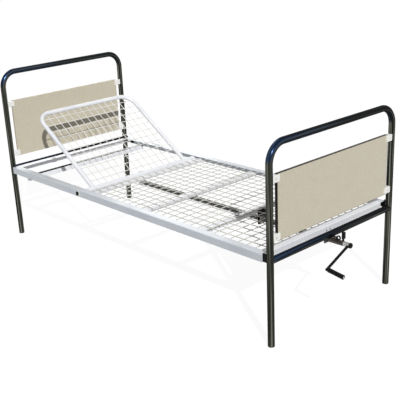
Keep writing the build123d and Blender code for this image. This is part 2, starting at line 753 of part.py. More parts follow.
with BuildPart() as crank_hub:
    with Locations((hub_x + hub_length / 2, 0, drive_height)):
        rod_x(hub_d / 2, hub_length)
    chamfer(crank_hub.edges().group_by(Axis.X)[-1], clip_round)
    with Locations((hub_x + (hub_length - shaft_end_gap) / 2, 0, drive_height)):
        rod_x(screw_d / 2 + screw_fit, hub_length - shaft_end_gap, Mode.SUBTRACT)
    with Locations((pin_x, 0, drive_height)):
        rod_y(hub_pin_d / 2 + screw_fit, 2 * hub_d, Mode.SUBTRACT)
save(crank_hub, "crank_hub")

with BuildPart() as hub_pin:
    with Locations((pin_x, 0, drive_height)):
        rod_y(hub_pin_d / 2, hub_d)
save(hub_pin, "hub_pin")

with BuildPart() as crank_arm:
    with BuildSketch(Plane(origin=(arm_x, 0, drive_height), z_dir=arm_direction)):
        Circle(arm_d / 2)
    extrude(amount=arm_length + arm_end)
    with Locations((arm_x, 0, drive_height)):
        rod_x(hub_d / 2, 4 * arm_d, Mode.SUBTRACT)
    with Locations(grip_plane):
        Cylinder(spindle_d / 2 + spindle_fit, 4 * arm_d, mode=Mode.SUBTRACT)
save(crank_arm, "crank_arm")


def grip_place(along):
    """A place on the grip's axis, so far from the elbow, with Z along the axis."""
    return grip_plane * Location((0, 0, along))


with BuildPart() as grip_spindle:
    with Locations(grip_place((grip_end + face_gap - arm_d / 2) / 2)):
        Cylinder(spindle_d / 2, grip_end + face_gap + arm_d / 2)
save(grip_spindle, "grip_spindle")

with BuildPart() as grip_retainer:
    with Locations(grip_place(retainer_end - retainer_length / 2)):
        Cylinder(retainer_d / 2, retainer_length)
    fillet(grip_retainer.edges().filter_by(GeomType.CIRCLE).group_by(Axis.X)[-1], retainer_round)
save(grip_retainer, "grip_retainer")

with BuildPart() as crank_grip:
    with Locations(grip_place(grip_start + grip_length / 2)):
        Cylinder(grip_d / 2, grip_length)
    fillet(crank_grip.edges().filter_by(GeomType.CIRCLE), grip_round)
    with Locations(grip_place(grip_start + grip_length / 2)):
        Cylinder(spindle_d / 2 + spindle_fit, grip_length, mode=Mode.SUBTRACT)
save(crank_grip, "crank_grip")
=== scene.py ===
"""An adjustable ward bed: bent tube end frames, laminate panels, a welded wire base and a crank-raised backrest."""
import json
import logging
import math
from dataclasses import dataclass
from enum import Enum
from typing import Sequence

import bmesh
import bpy
import numpy as np
from mathutils import Matrix, Vector


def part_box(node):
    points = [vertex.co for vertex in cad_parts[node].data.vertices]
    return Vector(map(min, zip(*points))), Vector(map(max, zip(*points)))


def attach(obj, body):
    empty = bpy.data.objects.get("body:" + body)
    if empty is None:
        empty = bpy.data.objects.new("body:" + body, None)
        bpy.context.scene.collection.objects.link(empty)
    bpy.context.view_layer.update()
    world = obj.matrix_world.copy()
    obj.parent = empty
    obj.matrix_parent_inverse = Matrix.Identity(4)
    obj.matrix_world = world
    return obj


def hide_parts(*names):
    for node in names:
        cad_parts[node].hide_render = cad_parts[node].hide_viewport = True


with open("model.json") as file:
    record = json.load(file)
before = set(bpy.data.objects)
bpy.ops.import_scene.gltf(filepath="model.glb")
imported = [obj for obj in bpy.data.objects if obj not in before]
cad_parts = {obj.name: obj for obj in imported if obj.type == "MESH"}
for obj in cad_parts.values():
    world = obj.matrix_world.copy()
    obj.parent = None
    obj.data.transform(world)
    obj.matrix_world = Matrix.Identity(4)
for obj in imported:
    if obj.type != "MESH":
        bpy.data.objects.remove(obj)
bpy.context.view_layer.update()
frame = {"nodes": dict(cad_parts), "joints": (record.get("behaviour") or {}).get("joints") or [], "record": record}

MM = 0.001
X, Y, Z = np.eye(3)
FLASH = np.array([3.0, 3.0, 1.3]) * MM  # half sizes of the flash at a wire's spot weld
log = logging.getLogger("bed")


# ---------------------------------------------------------------- surfaces on grids
def unit(vectors: np.ndarray) -> np.ndarray:
    """Scale vectors, along their last axis, to length one."""
    return vectors / np.linalg.norm(vectors, axis=-1, keepdims=True)


def corners(node: str) -> tuple[np.ndarray, np.ndarray]:
    """Give a CAD node's lowest and highest corners as arrays."""
    low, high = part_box(node)
    return np.array(low), np.array(high)


def middle(node: str) -> np.ndarray:
    """Give the middle of a CAD node's box."""
    low, high = corners(node)
    return (low + high) / 2


def radius_of(node: str) -> float:
    """Give the radius of a level round CAD node, which is half its height."""
    low, high = corners(node)
    return (high[2] - low[2]) / 2


def whole_turn(steps: int) -> np.ndarray:
    """Give the angles from 0 to one whole turn in so many equal steps."""
    return np.linspace(0, 2 * np.pi, steps + 1)


def ring(radius: float, sides: int) -> np.ndarray:
    """A circle as a profile: radius times (cos t, sin t) for t round one turn, its first point repeated."""
    t = whole_turn(sides)
    return radius * np.stack([np.cos(t), np.sin(t)], -1)


def oblong(width: float, height: float, radius: float, steps: int = 5) -> np.ndarray:
    """A rectangle with round corners as a profile: quarter circles of the radius about four inset corners.

    Args:
        width: the rectangle's width.
        height: its height.
        radius: its corners' radius.
        steps: points on each quarter circle.

    Returns:
        The profile's points, the first repeated at the end.
    """
    t = (np.arange(4)[:, None] + np.linspace(0, 1, steps)) * np.pi / 2
    inset = np.array([(1, 1), (-1, 1), (-1, -1), (1, -1)]) * (width / 2 - radius, height / 2 - radius)
    points = inset[:, None] + radius * np.stack([np.cos(t), np.sin(t)], -1)
    return np.concatenate([points.reshape(-1, 2), points[0, :1]])


def folded(run: float, drop: float, wall: float, bend: float) -> np.ndarray:
    """A folded angle's section as a profile.

    The top flange goes from (0, 0) to (run, 0) and the upright one down to (0, -drop). The outer corner is a
    quarter circle of radius bend, and points 1 mm beyond it keep the flat faces flat in the shading.

    Args:
        run: the top flange's width, less than 0 where it goes the other way.
        drop: the upright flange's height.
        wall: the sheet's thickness.
        bend: radius of the outer corner.

    Returns:
        The section's points, the first repeated at the end.
    """
    width, near = abs(run), bend + 1 * MM
    t = np.linspace(0, np.pi / 2, num=7)
    corner = np.stack([bend - bend * np.sin(t), bend * np.cos(t) - bend], -1)
    before = [(width, 0), (near, 0)]
    after = [(0, -near), (0, -drop), (wall, -drop), (wall, -near), (wall, -wall), (near, -wall), (width, -wall)]
    return np.concatenate([before, corner, after, before[:1]]) * (np.sign(run), 1)


def round_corners(points: np.ndarray, radius: float, steps: int = 20) -> np.ndarray:
    """Round the inner corners of a run of straight lines.

    With unit directions a into a corner and b out of it, the arc starts radius * tan(turn / 2) before the
    corner, and its points are start + radius (sin t * a + (1 - cos t) * inward) for t from 0 to the turn,
    where inward is the part of b square to a.

    Args:
        points: the corners, one row each.
        radius: the arcs' radius.
        steps: points on each arc.

    Returns:
        The rounded run's points.
    """
    arcs = []
    t = np.linspace(0, 1, steps)[:, None]
    for before, corner, after in zip(points, points[1:], points[2:]):
        a, b = unit(corner - before), unit(after - corner)
        turn = math.acos(a @ b)
        start = corner - a * radius * math.tan(turn / 2)
        inward = unit(b - a * (a @ b))
        arcs.append(start + radius * (np.sin(t * turn) * a + (1 - np.cos(t * turn)) * inward))
    return np.concatenate([points[:1], *arcs, points[-1:]])


def even(points: np.ndarray, step: float) -> np.ndarray:
    """Space points evenly along a run of lines, by its length from the start.

    Args:
        points: the run's corners, one row each.
        step: about how far apart the points are to be.

    Returns:
        The spaced points.
    """
    far = np.concatenate([[0], np.cumsum(np.linalg.norm(np.diff(points, axis=0), axis=1))])
    wanted = np.linspace(0, far[-1], max(int(far[-1] / step), 2) + 1)
    return np.stack([np.interp(wanted, far, points[:, axis]) for axis in range(3)], -1)


def carried(profile: np.ndarray, path: np.ndarray, normal: np.ndarray, scale: np.ndarray | float = 1.0) -> np.ndarray:
    """Carry a flat profile along a path.

    A profile point (p, q) lands on path + scale (p * across + q * up), where across is square to the path
    and to the normal, and up is square to the path and to across. A path that ends where it starts closes.

    Args:
        profile: points (p, q), the first repeated at the end where the profile is closed.
        path: points in space.
        normal: the direction that up keeps nearest to.
        scale: one size for the whole profile, or one for each path point.

    Returns:
        A grid of points, path points by profile points.
    """
    if np.allclose(path[0], path[-1]):
        wrapped = np.concatenate([path[-2:-1], path, path[1:2]])
        ahead = unit(wrapped[2:] - wrapped[:-2])
    else:
        ahead = unit(np.gradient(path, axis=0))
    across = unit(np.cross(normal, ahead))
    up = np.cross(ahead, across)
    sized = profile[None] * np.broadcast_to(scale, len(path))[:, None, None]
    return path[:, None] + sized[..., :1] * across[:, None] + sized[..., 1:] * up[:, None]


def capped(grid: np.ndarray) -> np.ndarray:
    """Close a carried profile's two ends by drawing a last row at each end to its middle point."""
    ends = [np.broadcast_to(row[:-1].mean(0), row.shape)[None] for row in (grid[0], grid[-1])]
    return np.concatenate([ends[0], grid, ends[1]])


def turned(stations: Sequence[tuple[float, float]], base: np.ndarray, axis: np.ndarray, sides: int = 40) -> np.ndarray:
    """Turn a profile round an axis, as on a lathe.

    A station (a, r) gives the circle base + a * axis + r (cos t * across + sin t * up).

    Args:
        stations: pairs of millimetres along the axis and of radius.
        base: the point that the first number counts from.
        axis: the direction of the axis.
        sides: facets round one turn.

    Returns:
        A grid of points, stations by sides.
    """
    across = unit(np.cross(axis, X if abs(axis[0]) < 0.5 else Z))
    up = np.cross(axis, across)
    along, radius = np.asarray(stations, float).T[..., None, None] * MM
    circle = ring(1, sides)
    return base + along * axis + radius * (circle[:, :1] * across + circle[:, 1:] * up)


def pebbles(centres: np.ndarray, half: np.ndarray, axes: np.ndarray) -> np.ndarray:
    """Make a small flattened ball at each centre.

    A ball's point is centre + (half_u cos a sin b) u + (half_v sin a sin b) v + (half_w cos b) w, for a round
    one turn and b from pole to pole.

    Args:
        centres: one row each.
        half: half sizes along the three axes.
        axes: the unit axes u, v and w as rows.

    Returns:
        One grid for each centre.
    """
    a, b = whole_turn(8)[None], np.linspace(0, np.pi, num=5)[:, None]
    ball = np.stack([np.cos(a) * np.sin(b), np.sin(a) * np.sin(b), np.cos(b) + 0 * a], -1) * half
    return centres[:, None, None] + ball @ axes


def placed(name: str, data: bpy.types.ID) -> bpy.types.Object:
    """Put a new object into the scene.

    Args:
        name: its name.
        data: the mesh, lamp or camera that it holds.

    Returns:
        The new object.
    """
    made = bpy.data.objects.new(name, data)
    bpy.context.scene.collection.objects.link(made)
    return made


class Shape:
    """Grids of points gathered into one mesh."""

    def __init__(self) -> None:
        """Start with no points."""
        self.points: list[np.ndarray] = []
        self.quads: list[np.ndarray] = []
        self.map: list[np.ndarray] = []
        self.count = 0

    def add(self, grid: np.ndarray) -> "Shape":
        """Add a grid, or several of one size, with a face between each four neighbouring points.

        Its map's first coordinate is the length along a row up to a point, and its second the length of the
        line through the rows' middles up to that row, both in metres.

        Args:
            grid: points, with rows and columns as its last axes but one and two.

        Returns:
            This shape, so that calls may follow each other.
        """
        rows, columns = grid.shape[-3:-1]
        index = np.arange(grid.size // 3).reshape(-1, rows, columns) + self.count
        quads = [index[:, :-1, :-1], index[:, :-1, 1:], index[:, 1:, 1:], index[:, 1:, :-1]]
        self.points.append(grid.reshape(-1, 3))
        self.quads.append(np.stack(quads, -1).reshape(-1, 4))
        lines = np.stack([grid, np.broadcast_to(grid.mean(-2, keepdims=True), grid.shape)])
        steps = [np.linalg.norm(np.diff(line, axis=axis), axis=-1) for line, axis in zip(lines, (-2, -3))]
        around = np.concatenate([np.zeros_like(steps[0][..., :1]), steps[0].cumsum(-1)], -1)
        along = np.concatenate([np.zeros_like(steps[1][..., :1, :]), steps[1].cumsum(-2)], -2)
        self.map.append(np.stack([around, along], -1).reshape(-1, 2))
        self.count += grid.size // 3
        return self

    def piece(
        self, name: str, slot: "Slot", body: str, replaces: Sequence[str] = (), sharp: float = 40.0
    ) -> bpy.types.Object:
        """Make the mesh, dress it and let it ride.

        Points that fall together are merged, which closes seams and poles, and faces are turned outward.

        Args:
            name: the piece's name.
            slot: the slot whose finish it takes.
            body: the CAD body it moves with.
            replaces: the CAD nodes that it stands for.
            sharp: the angle in degrees from which an edge is sharp.

        Returns:
            The new object.
        """
        mesh = bpy.data.meshes.new(name)
        quads = np.concatenate(self.quads)
        mesh.from_pydata(np.concatenate(self.points).tolist(), [], quads.tolist())
        spread = mesh.uv_layers.new(name="metres")
        spread.data.foreach_set("uv", np.concatenate(self.map)[quads].ravel())
        work = bmesh.new()
        work.from_mesh(mesh)
        bmesh.ops.remove_doubles(work, verts=work.verts, dist=1e-6)
        bmesh.ops.recalc_face_normals(work, faces=work.faces)
        work.to_mesh(mesh)
        work.free()
        mesh.shade_smooth()
        mesh.set_sharp_from_angle(angle=math.radians(sharp))
        mesh.materials.append(slot.material())
        made = placed(name, mesh)
        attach(made, body)
        if replaces:
            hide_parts(*replaces)
        log.info("%s: %d faces on %s", name, len(mesh.polygons), body)
        return made


def bead(path: np.ndarray, radius: float, normal: np.ndarray, step: float = 0.8, ripple: float = 2.5) -> np.ndarray:
    """Lay a weld bead along a path: a round profile whose size at a length s is 0.9 + 0.1 |sin(pi s / ripple)|.

    Args:
        path: points along the joint.
        radius: the bead's largest radius.
        normal: a direction not along the path.
        step: millimetres from one row of points to the next.
        ripple: millimetres from one ripple to the next.

    Returns:
        A closed grid of points.
    """
    spaced = even(path, step * MM)
    swell = 0.9 + 0.1 * np.abs(np.sin(np.pi * np.arange(len(spaced)) * step / ripple))
    closed = np.allclose(spaced[0], spaced[-1])
    if closed:
        swell[-1] = swell[0]
    grid = carried(ring(radius, sides=8), spaced, normal, swell)
    return grid if closed else capped(grid)


# ---------------------------------------------------------------- colours and nodes
SHARE, FIRST, SECOND = 0, 6, 7  # the inputs of a Mix node that mixes colours
Colour = tuple[float, float, float, float]
Feed = bpy.types.Node | bpy.types.NodeSocket | Colour | float  # what may feed a node's input
Sockets = dict[str | int, Feed]


def linear(hex_colour: str) -> Colour:
    """Turn an sRGB colour into the linear RGBA that shaders take.

    A part p of the colour becomes p / 12.92 up to 0.04045, and ((p + 0.055) / 1.055)^2.4 above that.

    Args:
        hex_colour: a colour such as "#CBC3AE".

    Returns:
        Linear red, green and blue, and 1.
    """
    parts = np.array([int(hex_colour[i : i + 2], 16) for i in (1, 3, 5)]) / 255
    low, high = parts / 12.92, ((parts + 0.055) / 1.055) ** 2.4
    return (*np.where(parts <= 0.04045, low, high).tolist(), 1.0)


def size(millimetres: float) -> float:
    """Give the texture scale at which a pattern repeats about every so many millimetres."""
    return 1 / (millimetres * MM)


class Tree:
    """The node tree of a material or of the world, with one method that adds a node."""

    def __init__(self, owner: bpy.types.Material | bpy.types.World) -> None:
        """Empty a tree and give it an output node.

        Args:
            owner: the material or world that the tree belongs to.
        """
        owner.use_nodes = True
        self.owner = owner
        self.nodes, self.links = owner.node_tree.nodes, owner.node_tree.links
        self.nodes.clear()
        self.output = self.add("OutputWorld" if isinstance(owner, bpy.types.World) else "OutputMaterial")

    def add(self, kind: str, sockets: Sockets | None = None, **settings: object) -> bpy.types.Node:
        """Add one node.

        Args:
            kind: the node's type, without its "ShaderNode" prefix.
            sockets: input name or number to a value, to the output socket that feeds it, or to a node, whose
                first output in use then feeds it.
            settings: attributes of the node itself.

        Returns:
            The new node.
        """
        node = self.nodes.new("ShaderNode" + kind)
        for key, value in settings.items():
            setattr(node, key, value)
        for key, value in (sockets or {}).items():
            if isinstance(value, bpy.types.Node):
                value = next(output for output in value.outputs if output.enabled)
            if isinstance(value, bpy.types.NodeSocket):
                self.links.new(value, node.inputs[key])
            else:
                node.inputs[key].default_value = value
        return node

    def patches(
        self, pattern: Feed, span: tuple[float, float], colours: Sequence[Feed], most: float = 1.0
    ) -> bpy.types.Node:
        """Turn one colour into another where a pattern is strong.

        Args:
            pattern: the node that gives the pattern.
            span: the pattern's values at which the second colour begins and is all there.
            colours: the two colours, each a linear colour or the node that gives it.
            most: the largest share of the second colour.

        Returns:
            The node that gives the mixed colour.
        """
        share = self.add("MapRange", {"Value": pattern, "From Min": span[0], "From Max": span[1], "To Max": most})
        return self.add("Mix", {SHARE: share, FIRST: colours[0], SECOND: colours[1]}, data_type="RGBA")

    def close(self, surface: bpy.types.Node) -> bpy.types.Material | bpy.types.World:
        """Link the node that makes the surface to the output, and give the tree's owner."""
        self.links.new(surface.outputs[0], self.output.inputs["Surface"])
        return self.owner


@dataclass(frozen=True)
class Finish:
    """A way that a surface is finished. Each kind of finish has its own look."""

    name: str

    def make(self) -> bpy.types.Material:
        """Make its material."""
        tree = Tree(bpy.data.materials.new(self.name))
        place = tree.add("TexCoord").outputs["Object"]
        return tree.close(tree.add("BsdfPrincipled", self.look(tree, place)))

    def look(self, tree: Tree, place: bpy.types.NodeSocket) -> Sockets:
        """Add the finish's patterns.

        Args:
            tree: the material's nodes.
            place: the coordinates that the patterns follow.

        Returns:
            The shader's inputs.
        """
        raise NotImplementedError


@dataclass(frozen=True)
class BlackChromePlate(Finish):
    """Black chrome plate over drawn steel tube.

    To the eye: a near-black mirror with faint wiping haze. Pale and dark streaks along the tube are painted
    reflections of the surroundings. So are the greenish tint on the legs and the navy-black on the level runs,
    which grows bluer towards the right side as a painted reflection of the sky.
    """

    name: str = "black_chrome_plated_steel_tube"
    # Painted reflection colours: the legs' tint and streaks, the level runs' tint and streaks, and the sky's tint.
    legs_reflection_tint: str = "#33362D"
    legs_dark_streak: str = "#0C0E0A"
    legs_pale_streak: str = "#83857B"
    runs_reflection_tint: str = "#0F1317"
    runs_dark_streak: str = "#020406"
    runs_pale_streak: str = "#39424A"
    sky_reflection_tint: str = "#122E50"
    line: float = 9  # millimetres round the tube from one painted reflection streak to the next
    streak_stretch: float = 0.012  # a painted reflection streak's width over its length
    haze: float = 18  # millimetres across a wiped patch
    polish: float = 1.2  # millimetres from ripple to ripple
    relief: float = 0.05  # millimetres, the ripples' height
    edge: str = "#1A1A1A"  # what a glancing view tends to, so that the tube's sides stay dark
    lacquer: float = 0.2  # a clear film, which turns the lamp's highlight white
    lacquer_roughness: float = 0.22

    def look(self, tree: Tree, place: bpy.types.NodeSocket) -> Sockets:
        """Add the painted reflection streaks and tints, the haze and the polish.

        Args:
            tree: the material's nodes.
            place: the coordinates that the patterns follow.

        Returns:
            The shader's inputs.
        """
        # The map's first coordinate is metres round the tube and its second metres along it.
        drawn = tree.add("Mapping", {"Vector": tree.add("UVMap"), "Scale": (1, self.streak_stretch, 1)})
        lines = tree.add("TexNoise", {"Vector": drawn, "Scale": size(self.line), "Detail": 2.0})
        # Pale streaks are painted highlights, and dark streaks are painted reflections of dark surroundings.
        pale = tree.add("MapRange", {"Value": lines, "From Min": 0.5, "From Max": 0.66})
        dark = tree.add("MapRange", {"Value": lines, "From Min": 0.5, "From Max": 0.36})
        # Towards the right side the level runs turn bluer: a painted reflection of the sky.
        across = tree.add("SeparateXYZ", {0: place}).outputs["Y"]
        runs_reflection_tint = tree.patches(across, (0.05, -0.4), (linear(self.runs_reflection_tint), linear(self.sky_reflection_tint)))
        # A leg's normals have no part that points up or down, and a level run's have one nearly all round,
        # so the painted reflection tints of legs and runs follow which way the surface faces.
        rise = tree.add("SeparateXYZ", {0: place.node.outputs["Normal"]}).outputs["Z"]
        steepness = tree.add("Math", {0: rise}, operation="ABSOLUTE")
        painted_reflection_tints = [linear(self.legs_reflection_tint), runs_reflection_tint]
        for share, ends in ((pale, (self.legs_pale_streak, self.runs_pale_streak)), (dark, (self.legs_dark_streak, self.runs_dark_streak))):
            painted_reflection_tints = [
                tree.add("Mix", {SHARE: share, FIRST: tint, SECOND: linear(end)}, data_type="RGBA")
                for tint, end in zip(painted_reflection_tints, ends)
            ]
        tint = tree.patches(steepness, (0.04, 0.25), painted_reflection_tints)
        haze = tree.add("TexNoise", {"Vector": place, "Scale": size(self.haze), "Detail": 5.0})
        rough = tree.add("MapRange", {"Value": haze, "To Min": 0.1, "To Max": 0.34})
        polish = tree.add("TexNoise", {"Vector": place, "Scale": size(self.polish), "Detail": 2.0})
        bump = tree.add("Bump", {"Height": polish, "Strength": 0.05, "Distance": self.relief * MM})
        coat = {"Coat Weight": self.lacquer, "Coat Roughness": self.lacquer_roughness}
        metal = {"Base Color": tint, "Metallic": 1.0, "Specular Tint": linear(self.edge), "Roughness": rough}
        return {**metal, **coat, "Normal": bump}


@dataclass(frozen=True)
class PowderCoat(Finish):
    """Polyester powder baked on steel.

    To the eye: an even glossy colour that drifts a little, and the orange-peel ripple that breaks up highlights.
    """

    name: str
    colour: str
    drift: str  # the colour that it wanders towards
    roughness: float = 0.34
    gloss: float = 0.25  # the share of clear skin over the colour
    gloss_roughness: float = 0.15
    cloud: float = 140  # millimetres across a patch of the other colour
    dust: float = 9  # millimetres across a duller patch
    peel: float = 2.4  # millimetres from ripple to ripple
    relief: float = 0.08  # millimetres, the ripples' height

    def look(self, tree: Tree, place: bpy.types.NodeSocket) -> Sockets:
        """Add the drift, dust and orange peel.

        Args:
            tree: the material's nodes.
            place: the coordinates that the patterns follow.

        Returns:
            The shader's inputs.
        """
        cloud = tree.add("TexNoise", {"Vector": place, "Scale": size(self.cloud), "Detail": 4.0})
        tint = tree.patches(cloud, (0.38, 0.68), (linear(self.colour), linear(self.drift)))
        dust = tree.add("TexNoise", {"Vector": place, "Scale": size(self.dust), "Detail": 6.0})
        clean, dull = self.roughness - 0.08, self.roughness + 0.12
        rough = tree.add("MapRange", {"Value": dust, "To Min": clean, "To Max": dull})
        ripple = tree.add("TexNoise", {"Vector": place, "Scale": size(self.peel), "Detail": 1.0})
        bump = tree.add("Bump", {"Height": ripple, "Strength": 0.25, "Distance": self.relief * MM})
        coat = {"Coat Weight": self.gloss, "Coat Roughness": self.gloss_roughness}
        return {"Base Color": tint, "Roughness": rough, "Normal": bump, **coat}


@dataclass(frozen=True)
class PressedLaminate(Finish):
    """High-pressure laminate with a printed stone pattern, pressed on chipboard.

    To the eye: a beige ground with fine light and dark specks, softly cloudy, satin with a pebbled touch.
    """

    name: str = "beige_speckled_pressed_laminate"
    ground: str = "#CAC3B0"
    cloudy: str = "#C4BCA6"
    pale: str = "#D6CFBE"
    dark: str = "#AEA590"
    cloud: float = 60  # millimetres across a cloud
    # The real specks are about 1 mm; they are drawn at 6 mm and 3 mm so that they show at all.
    pale_speck: float = 6
    dark_speck: float = 3
    pebble: float = 0.9  # millimetres across a pebble
    relief: float = 0.1  # millimetres, the pebbles' height

    def look(self, tree: Tree, place: bpy.types.NodeSocket) -> Sockets:
        """Add the clouds, specks and pebbles.

        Args:
            tree: the material's nodes.
            place: the coordinates that the patterns follow.

        Returns:
            The shader's inputs.
        """
        cloud = tree.add("TexNoise", {"Vector": place, "Scale": size(self.cloud), "Detail": 3.0})
        ends = {FIRST: linear(self.ground), SECOND: linear(self.cloudy)}
        tint = tree.add("Mix", {SHARE: cloud, **ends}, data_type="RGBA")
        pale = tree.add("TexNoise", {"Vector": place, "Scale": size(self.pale_speck), "Detail": 2.0})
        tint = tree.patches(pale, (0.52, 0.68), (tint, linear(self.pale)), most=0.75)
        grit = {"Vector": place, "Scale": size(self.dark_speck), "Detail": 3.0, "Roughness": 0.7}
        dark = tree.add("TexNoise", grit)
        tint = tree.patches(dark, (0.56, 0.7), (tint, linear(self.dark)), most=0.7)
        rough = tree.add("MapRange", {"Value": dark, "To Min": 0.36, "To Max": 0.6})
        pebble = tree.add("TexNoise", {"Vector": place, "Scale": size(self.pebble), "Detail": 2.0})
        bump = tree.add("Bump", {"Height": pebble, "Strength": 0.3, "Distance": self.relief * MM})
        return {"Base Color": tint, "Roughness": rough, "Normal": bump}


@dataclass(frozen=True)
class EdgingStrip(Finish):
    """Extruded ABS edging, glued round the board and trimmed.

    To the eye: a plain satin colour with the faint chatter that the trimming cutter leaves.
    """

    name: str
    colour: str
    worn: str
    chatter: float = 5  # millimetres from one cutter mark to the next
    relief: float = 0.1  # millimetres, the marks' depth
    shine: float = 0.12  # how much it mirrors from straight above

    def look(self, tree: Tree, place: bpy.types.NodeSocket) -> Sockets:
        """Add the cutter's chatter.

        Args:
            tree: the material's nodes.
            place: the coordinates that the patterns follow.

        Returns:
            The shader's inputs.
        """
        marks = {"Vector": place, "Scale": size(self.chatter), "Detail": 4.0, "Roughness": 0.65}
        chatter = tree.add("TexNoise", marks)
        tint = tree.patches(chatter, (0.4, 0.72), (linear(self.colour), linear(self.worn)))
        rough = tree.add("MapRange", {"Value": chatter, "To Min": 0.3, "To Max": 0.5})
        bump = tree.add("Bump", {"Height": chatter, "Strength": 0.2, "Distance": self.relief * MM})
        return {"Base Color": tint, "Specular IOR Level": self.shine, "Roughness": rough, "Normal": bump}


@dataclass(frozen=True)
class MouldedPlastic(Finish):
    """Injection-moulded nylon or acetal from a spark-eroded tool.

    To the eye: one colour all through, a fine even grain that spreads highlights, and slight flow marks.
    """

    name: str
    colour: str
    flow: str
    roughness: float = 0.45
    shine: float = 0.5  # how much it mirrors from straight above
    mark: float = 22  # millimetres across a flow mark
    grain: float = 0.7  # millimetres
    relief: float = 0.08  # millimetres, the grain's height

    def look(self, tree: Tree, place: bpy.types.NodeSocket) -> Sockets:
        """Add the flow marks and grain.

        Args:
            tree: the material's nodes.
            place: the coordinates that the patterns follow.

        Returns:
            The shader's inputs.
        """
        flow = tree.add("TexNoise", {"Vector": place, "Scale": size(self.mark), "Detail": 2.0, "Distortion": 0.8})
        tint = tree.add("Mix", {SHARE: flow, FIRST: linear(self.colour), SECOND: linear(self.flow)}, data_type="RGBA")
        grain = tree.add("TexNoise", {"Vector": place, "Scale": size(self.grain), "Detail": 3.0})
        smooth, coarse = self.roughness - 0.1, self.roughness + 0.1
        rough = tree.add("MapRange", {"Value": grain, "To Min": smooth, "To Max": coarse})
        bump = tree.add("Bump", {"Height": grain, "Strength": 0.35, "Distance": self.relief * MM})
        return {"Base Color": tint, "Specular IOR Level": self.shine, "Roughness": rough, "Normal": bump}


@dataclass(frozen=True)
class ZincPlate(Finish):
    """Bright zinc plate, clear passivated, on turned or pressed steel.

    To the eye: pale silver with cool and straw patches and small crystals of differing shine.
    """

    name: str = "zinc_plated_steel"
    silver: str = "#C6CACE"
    straw: str = "#B9B5A6"
    patch: float = 12  # millimetres across a patch
    crystal: float = 2.5  # millimetres across a crystal

    def look(self, tree: Tree, place: bpy.types.NodeSocket) -> Sockets:
        """Add the patches and crystals.

        Args:
            tree: the material's nodes.
            place: the coordinates that the patterns follow.

        Returns:
            The shader's inputs.
        """
        patch = tree.add("TexNoise", {"Vector": place, "Scale": size(self.patch), "Detail": 3.0})
        tint = tree.patches(patch, (0.4, 0.7), (linear(self.silver), linear(self.straw)))
        crystal = tree.add("TexVoronoi", {"Vector": place, "Scale": size(self.crystal)})
        rough = tree.add("MapRange", {"Value": crystal, "To Min": 0.2, "To Max": 0.42})
        return {"Base Color": tint, "Metallic": 1.0, "Roughness": rough}


@dataclass(frozen=True)
class BlackedSteel(Finish):
    """Oiled black oxide on bolts, brackets and bar.

    To the eye: a soft black sheen, browner where the oil has dried.
    """

    name: str = "black_oxide_steel"
    black: str = "#090909"
    brown: str = "#1B1917"
    oil: float = 14  # millimetres across a dried patch
    scale: float = 0.8  # millimetres across a fleck of mill scale
    relief: float = 0.06  # millimetres, the scale's height
    shine: float = 0.07  # how much it mirrors from straight above

    def look(self, tree: Tree, place: bpy.types.NodeSocket) -> Sockets:
        """Add the dried oil and mill scale.

        Args:
            tree: the material's nodes.
            place: the coordinates that the patterns follow.

        Returns:
            The shader's inputs.
        """
        oil = tree.add("TexNoise", {"Vector": place, "Scale": size(self.oil), "Detail": 4.0})
        tint = tree.patches(oil, (0.42, 0.66), (linear(self.black), linear(self.brown)))
        rough = tree.add("MapRange", {"Value": oil, "To Min": 0.32, "To Max": 0.58})
        scale = tree.add("TexNoise", {"Vector": place, "Scale": size(self.scale), "Detail": 3.0})
        bump = tree.add("Bump", {"Height": scale, "Strength": 0.3, "Distance": self.relief * MM})
        return {"Base Color": tint, "Specular IOR Level": self.shine, "Roughness": rough, "Normal": bump}


@dataclass(frozen=True)
class MouldedRubber(Finish):
    """Black moulded rubber with a chalky bloom.

    To the eye: matt near-black, greyer in patches, with no clear highlight.
    """

    name: str = "black_moulded_rubber"
    black: str = "#17181A"
    bloom: str = "#2B2C2E"
    patch: float = 7  # millimetres across a patch of bloom
    relief: float = 0.1  # millimetres, the patches' height
    shine: float = 0.08  # how much it mirrors from straight above

    def look(self, tree: Tree, place: bpy.types.NodeSocket) -> Sockets:
        """Add the bloom.

        Args:
            tree: the material's nodes.
            place: the coordinates that the patterns follow.

        Returns:
            The shader's inputs.
        """
        bloom = tree.add("TexNoise", {"Vector": place, "Scale": size(self.patch), "Detail": 6.0})
        tint = tree.patches(bloom, (0.45, 0.75), (linear(self.black), linear(self.bloom)))
        rough = tree.add("MapRange", {"Value": bloom, "To Min": 0.65, "To Max": 0.9})
        bump = tree.add("Bump", {"Height": bloom, "Strength": 0.3, "Distance": self.relief * MM})
        return {"Base Color": tint, "Specular IOR Level": self.shine, "Roughness": rough, "Normal": bump}


@dataclass(frozen=True)
class RolledThread(Finish):
    """Bright rolled steel under a film of grease.

    To the eye: grey metal with brown, wet streaks and smears of grease.
    """

    name: str = "greased_rolled_steel"
    bright: str = "#9EA1A3"
    grease: str = "#5B5145"
    smear: float = 6  # millimetres across a smear

    def look(self, tree: Tree, place: bpy.types.NodeSocket) -> Sockets:
        """Add the smeared grease.

        Args:
            tree: the material's nodes.
            place: the coordinates that the patterns follow.

        Returns:
            The shader's inputs.
        """
        smear = tree.add("TexNoise", {"Vector": place, "Scale": size(self.smear), "Detail": 5.0, "Distortion": 1.0})
        tint = tree.patches(smear, (0.4, 0.62), (linear(self.bright), linear(self.grease)))
        rough = tree.add("MapRange", {"Value": smear, "To Min": 0.18, "To Max": 0.4})
        return {"Base Color": tint, "Metallic": 1.0, "Roughness": rough}


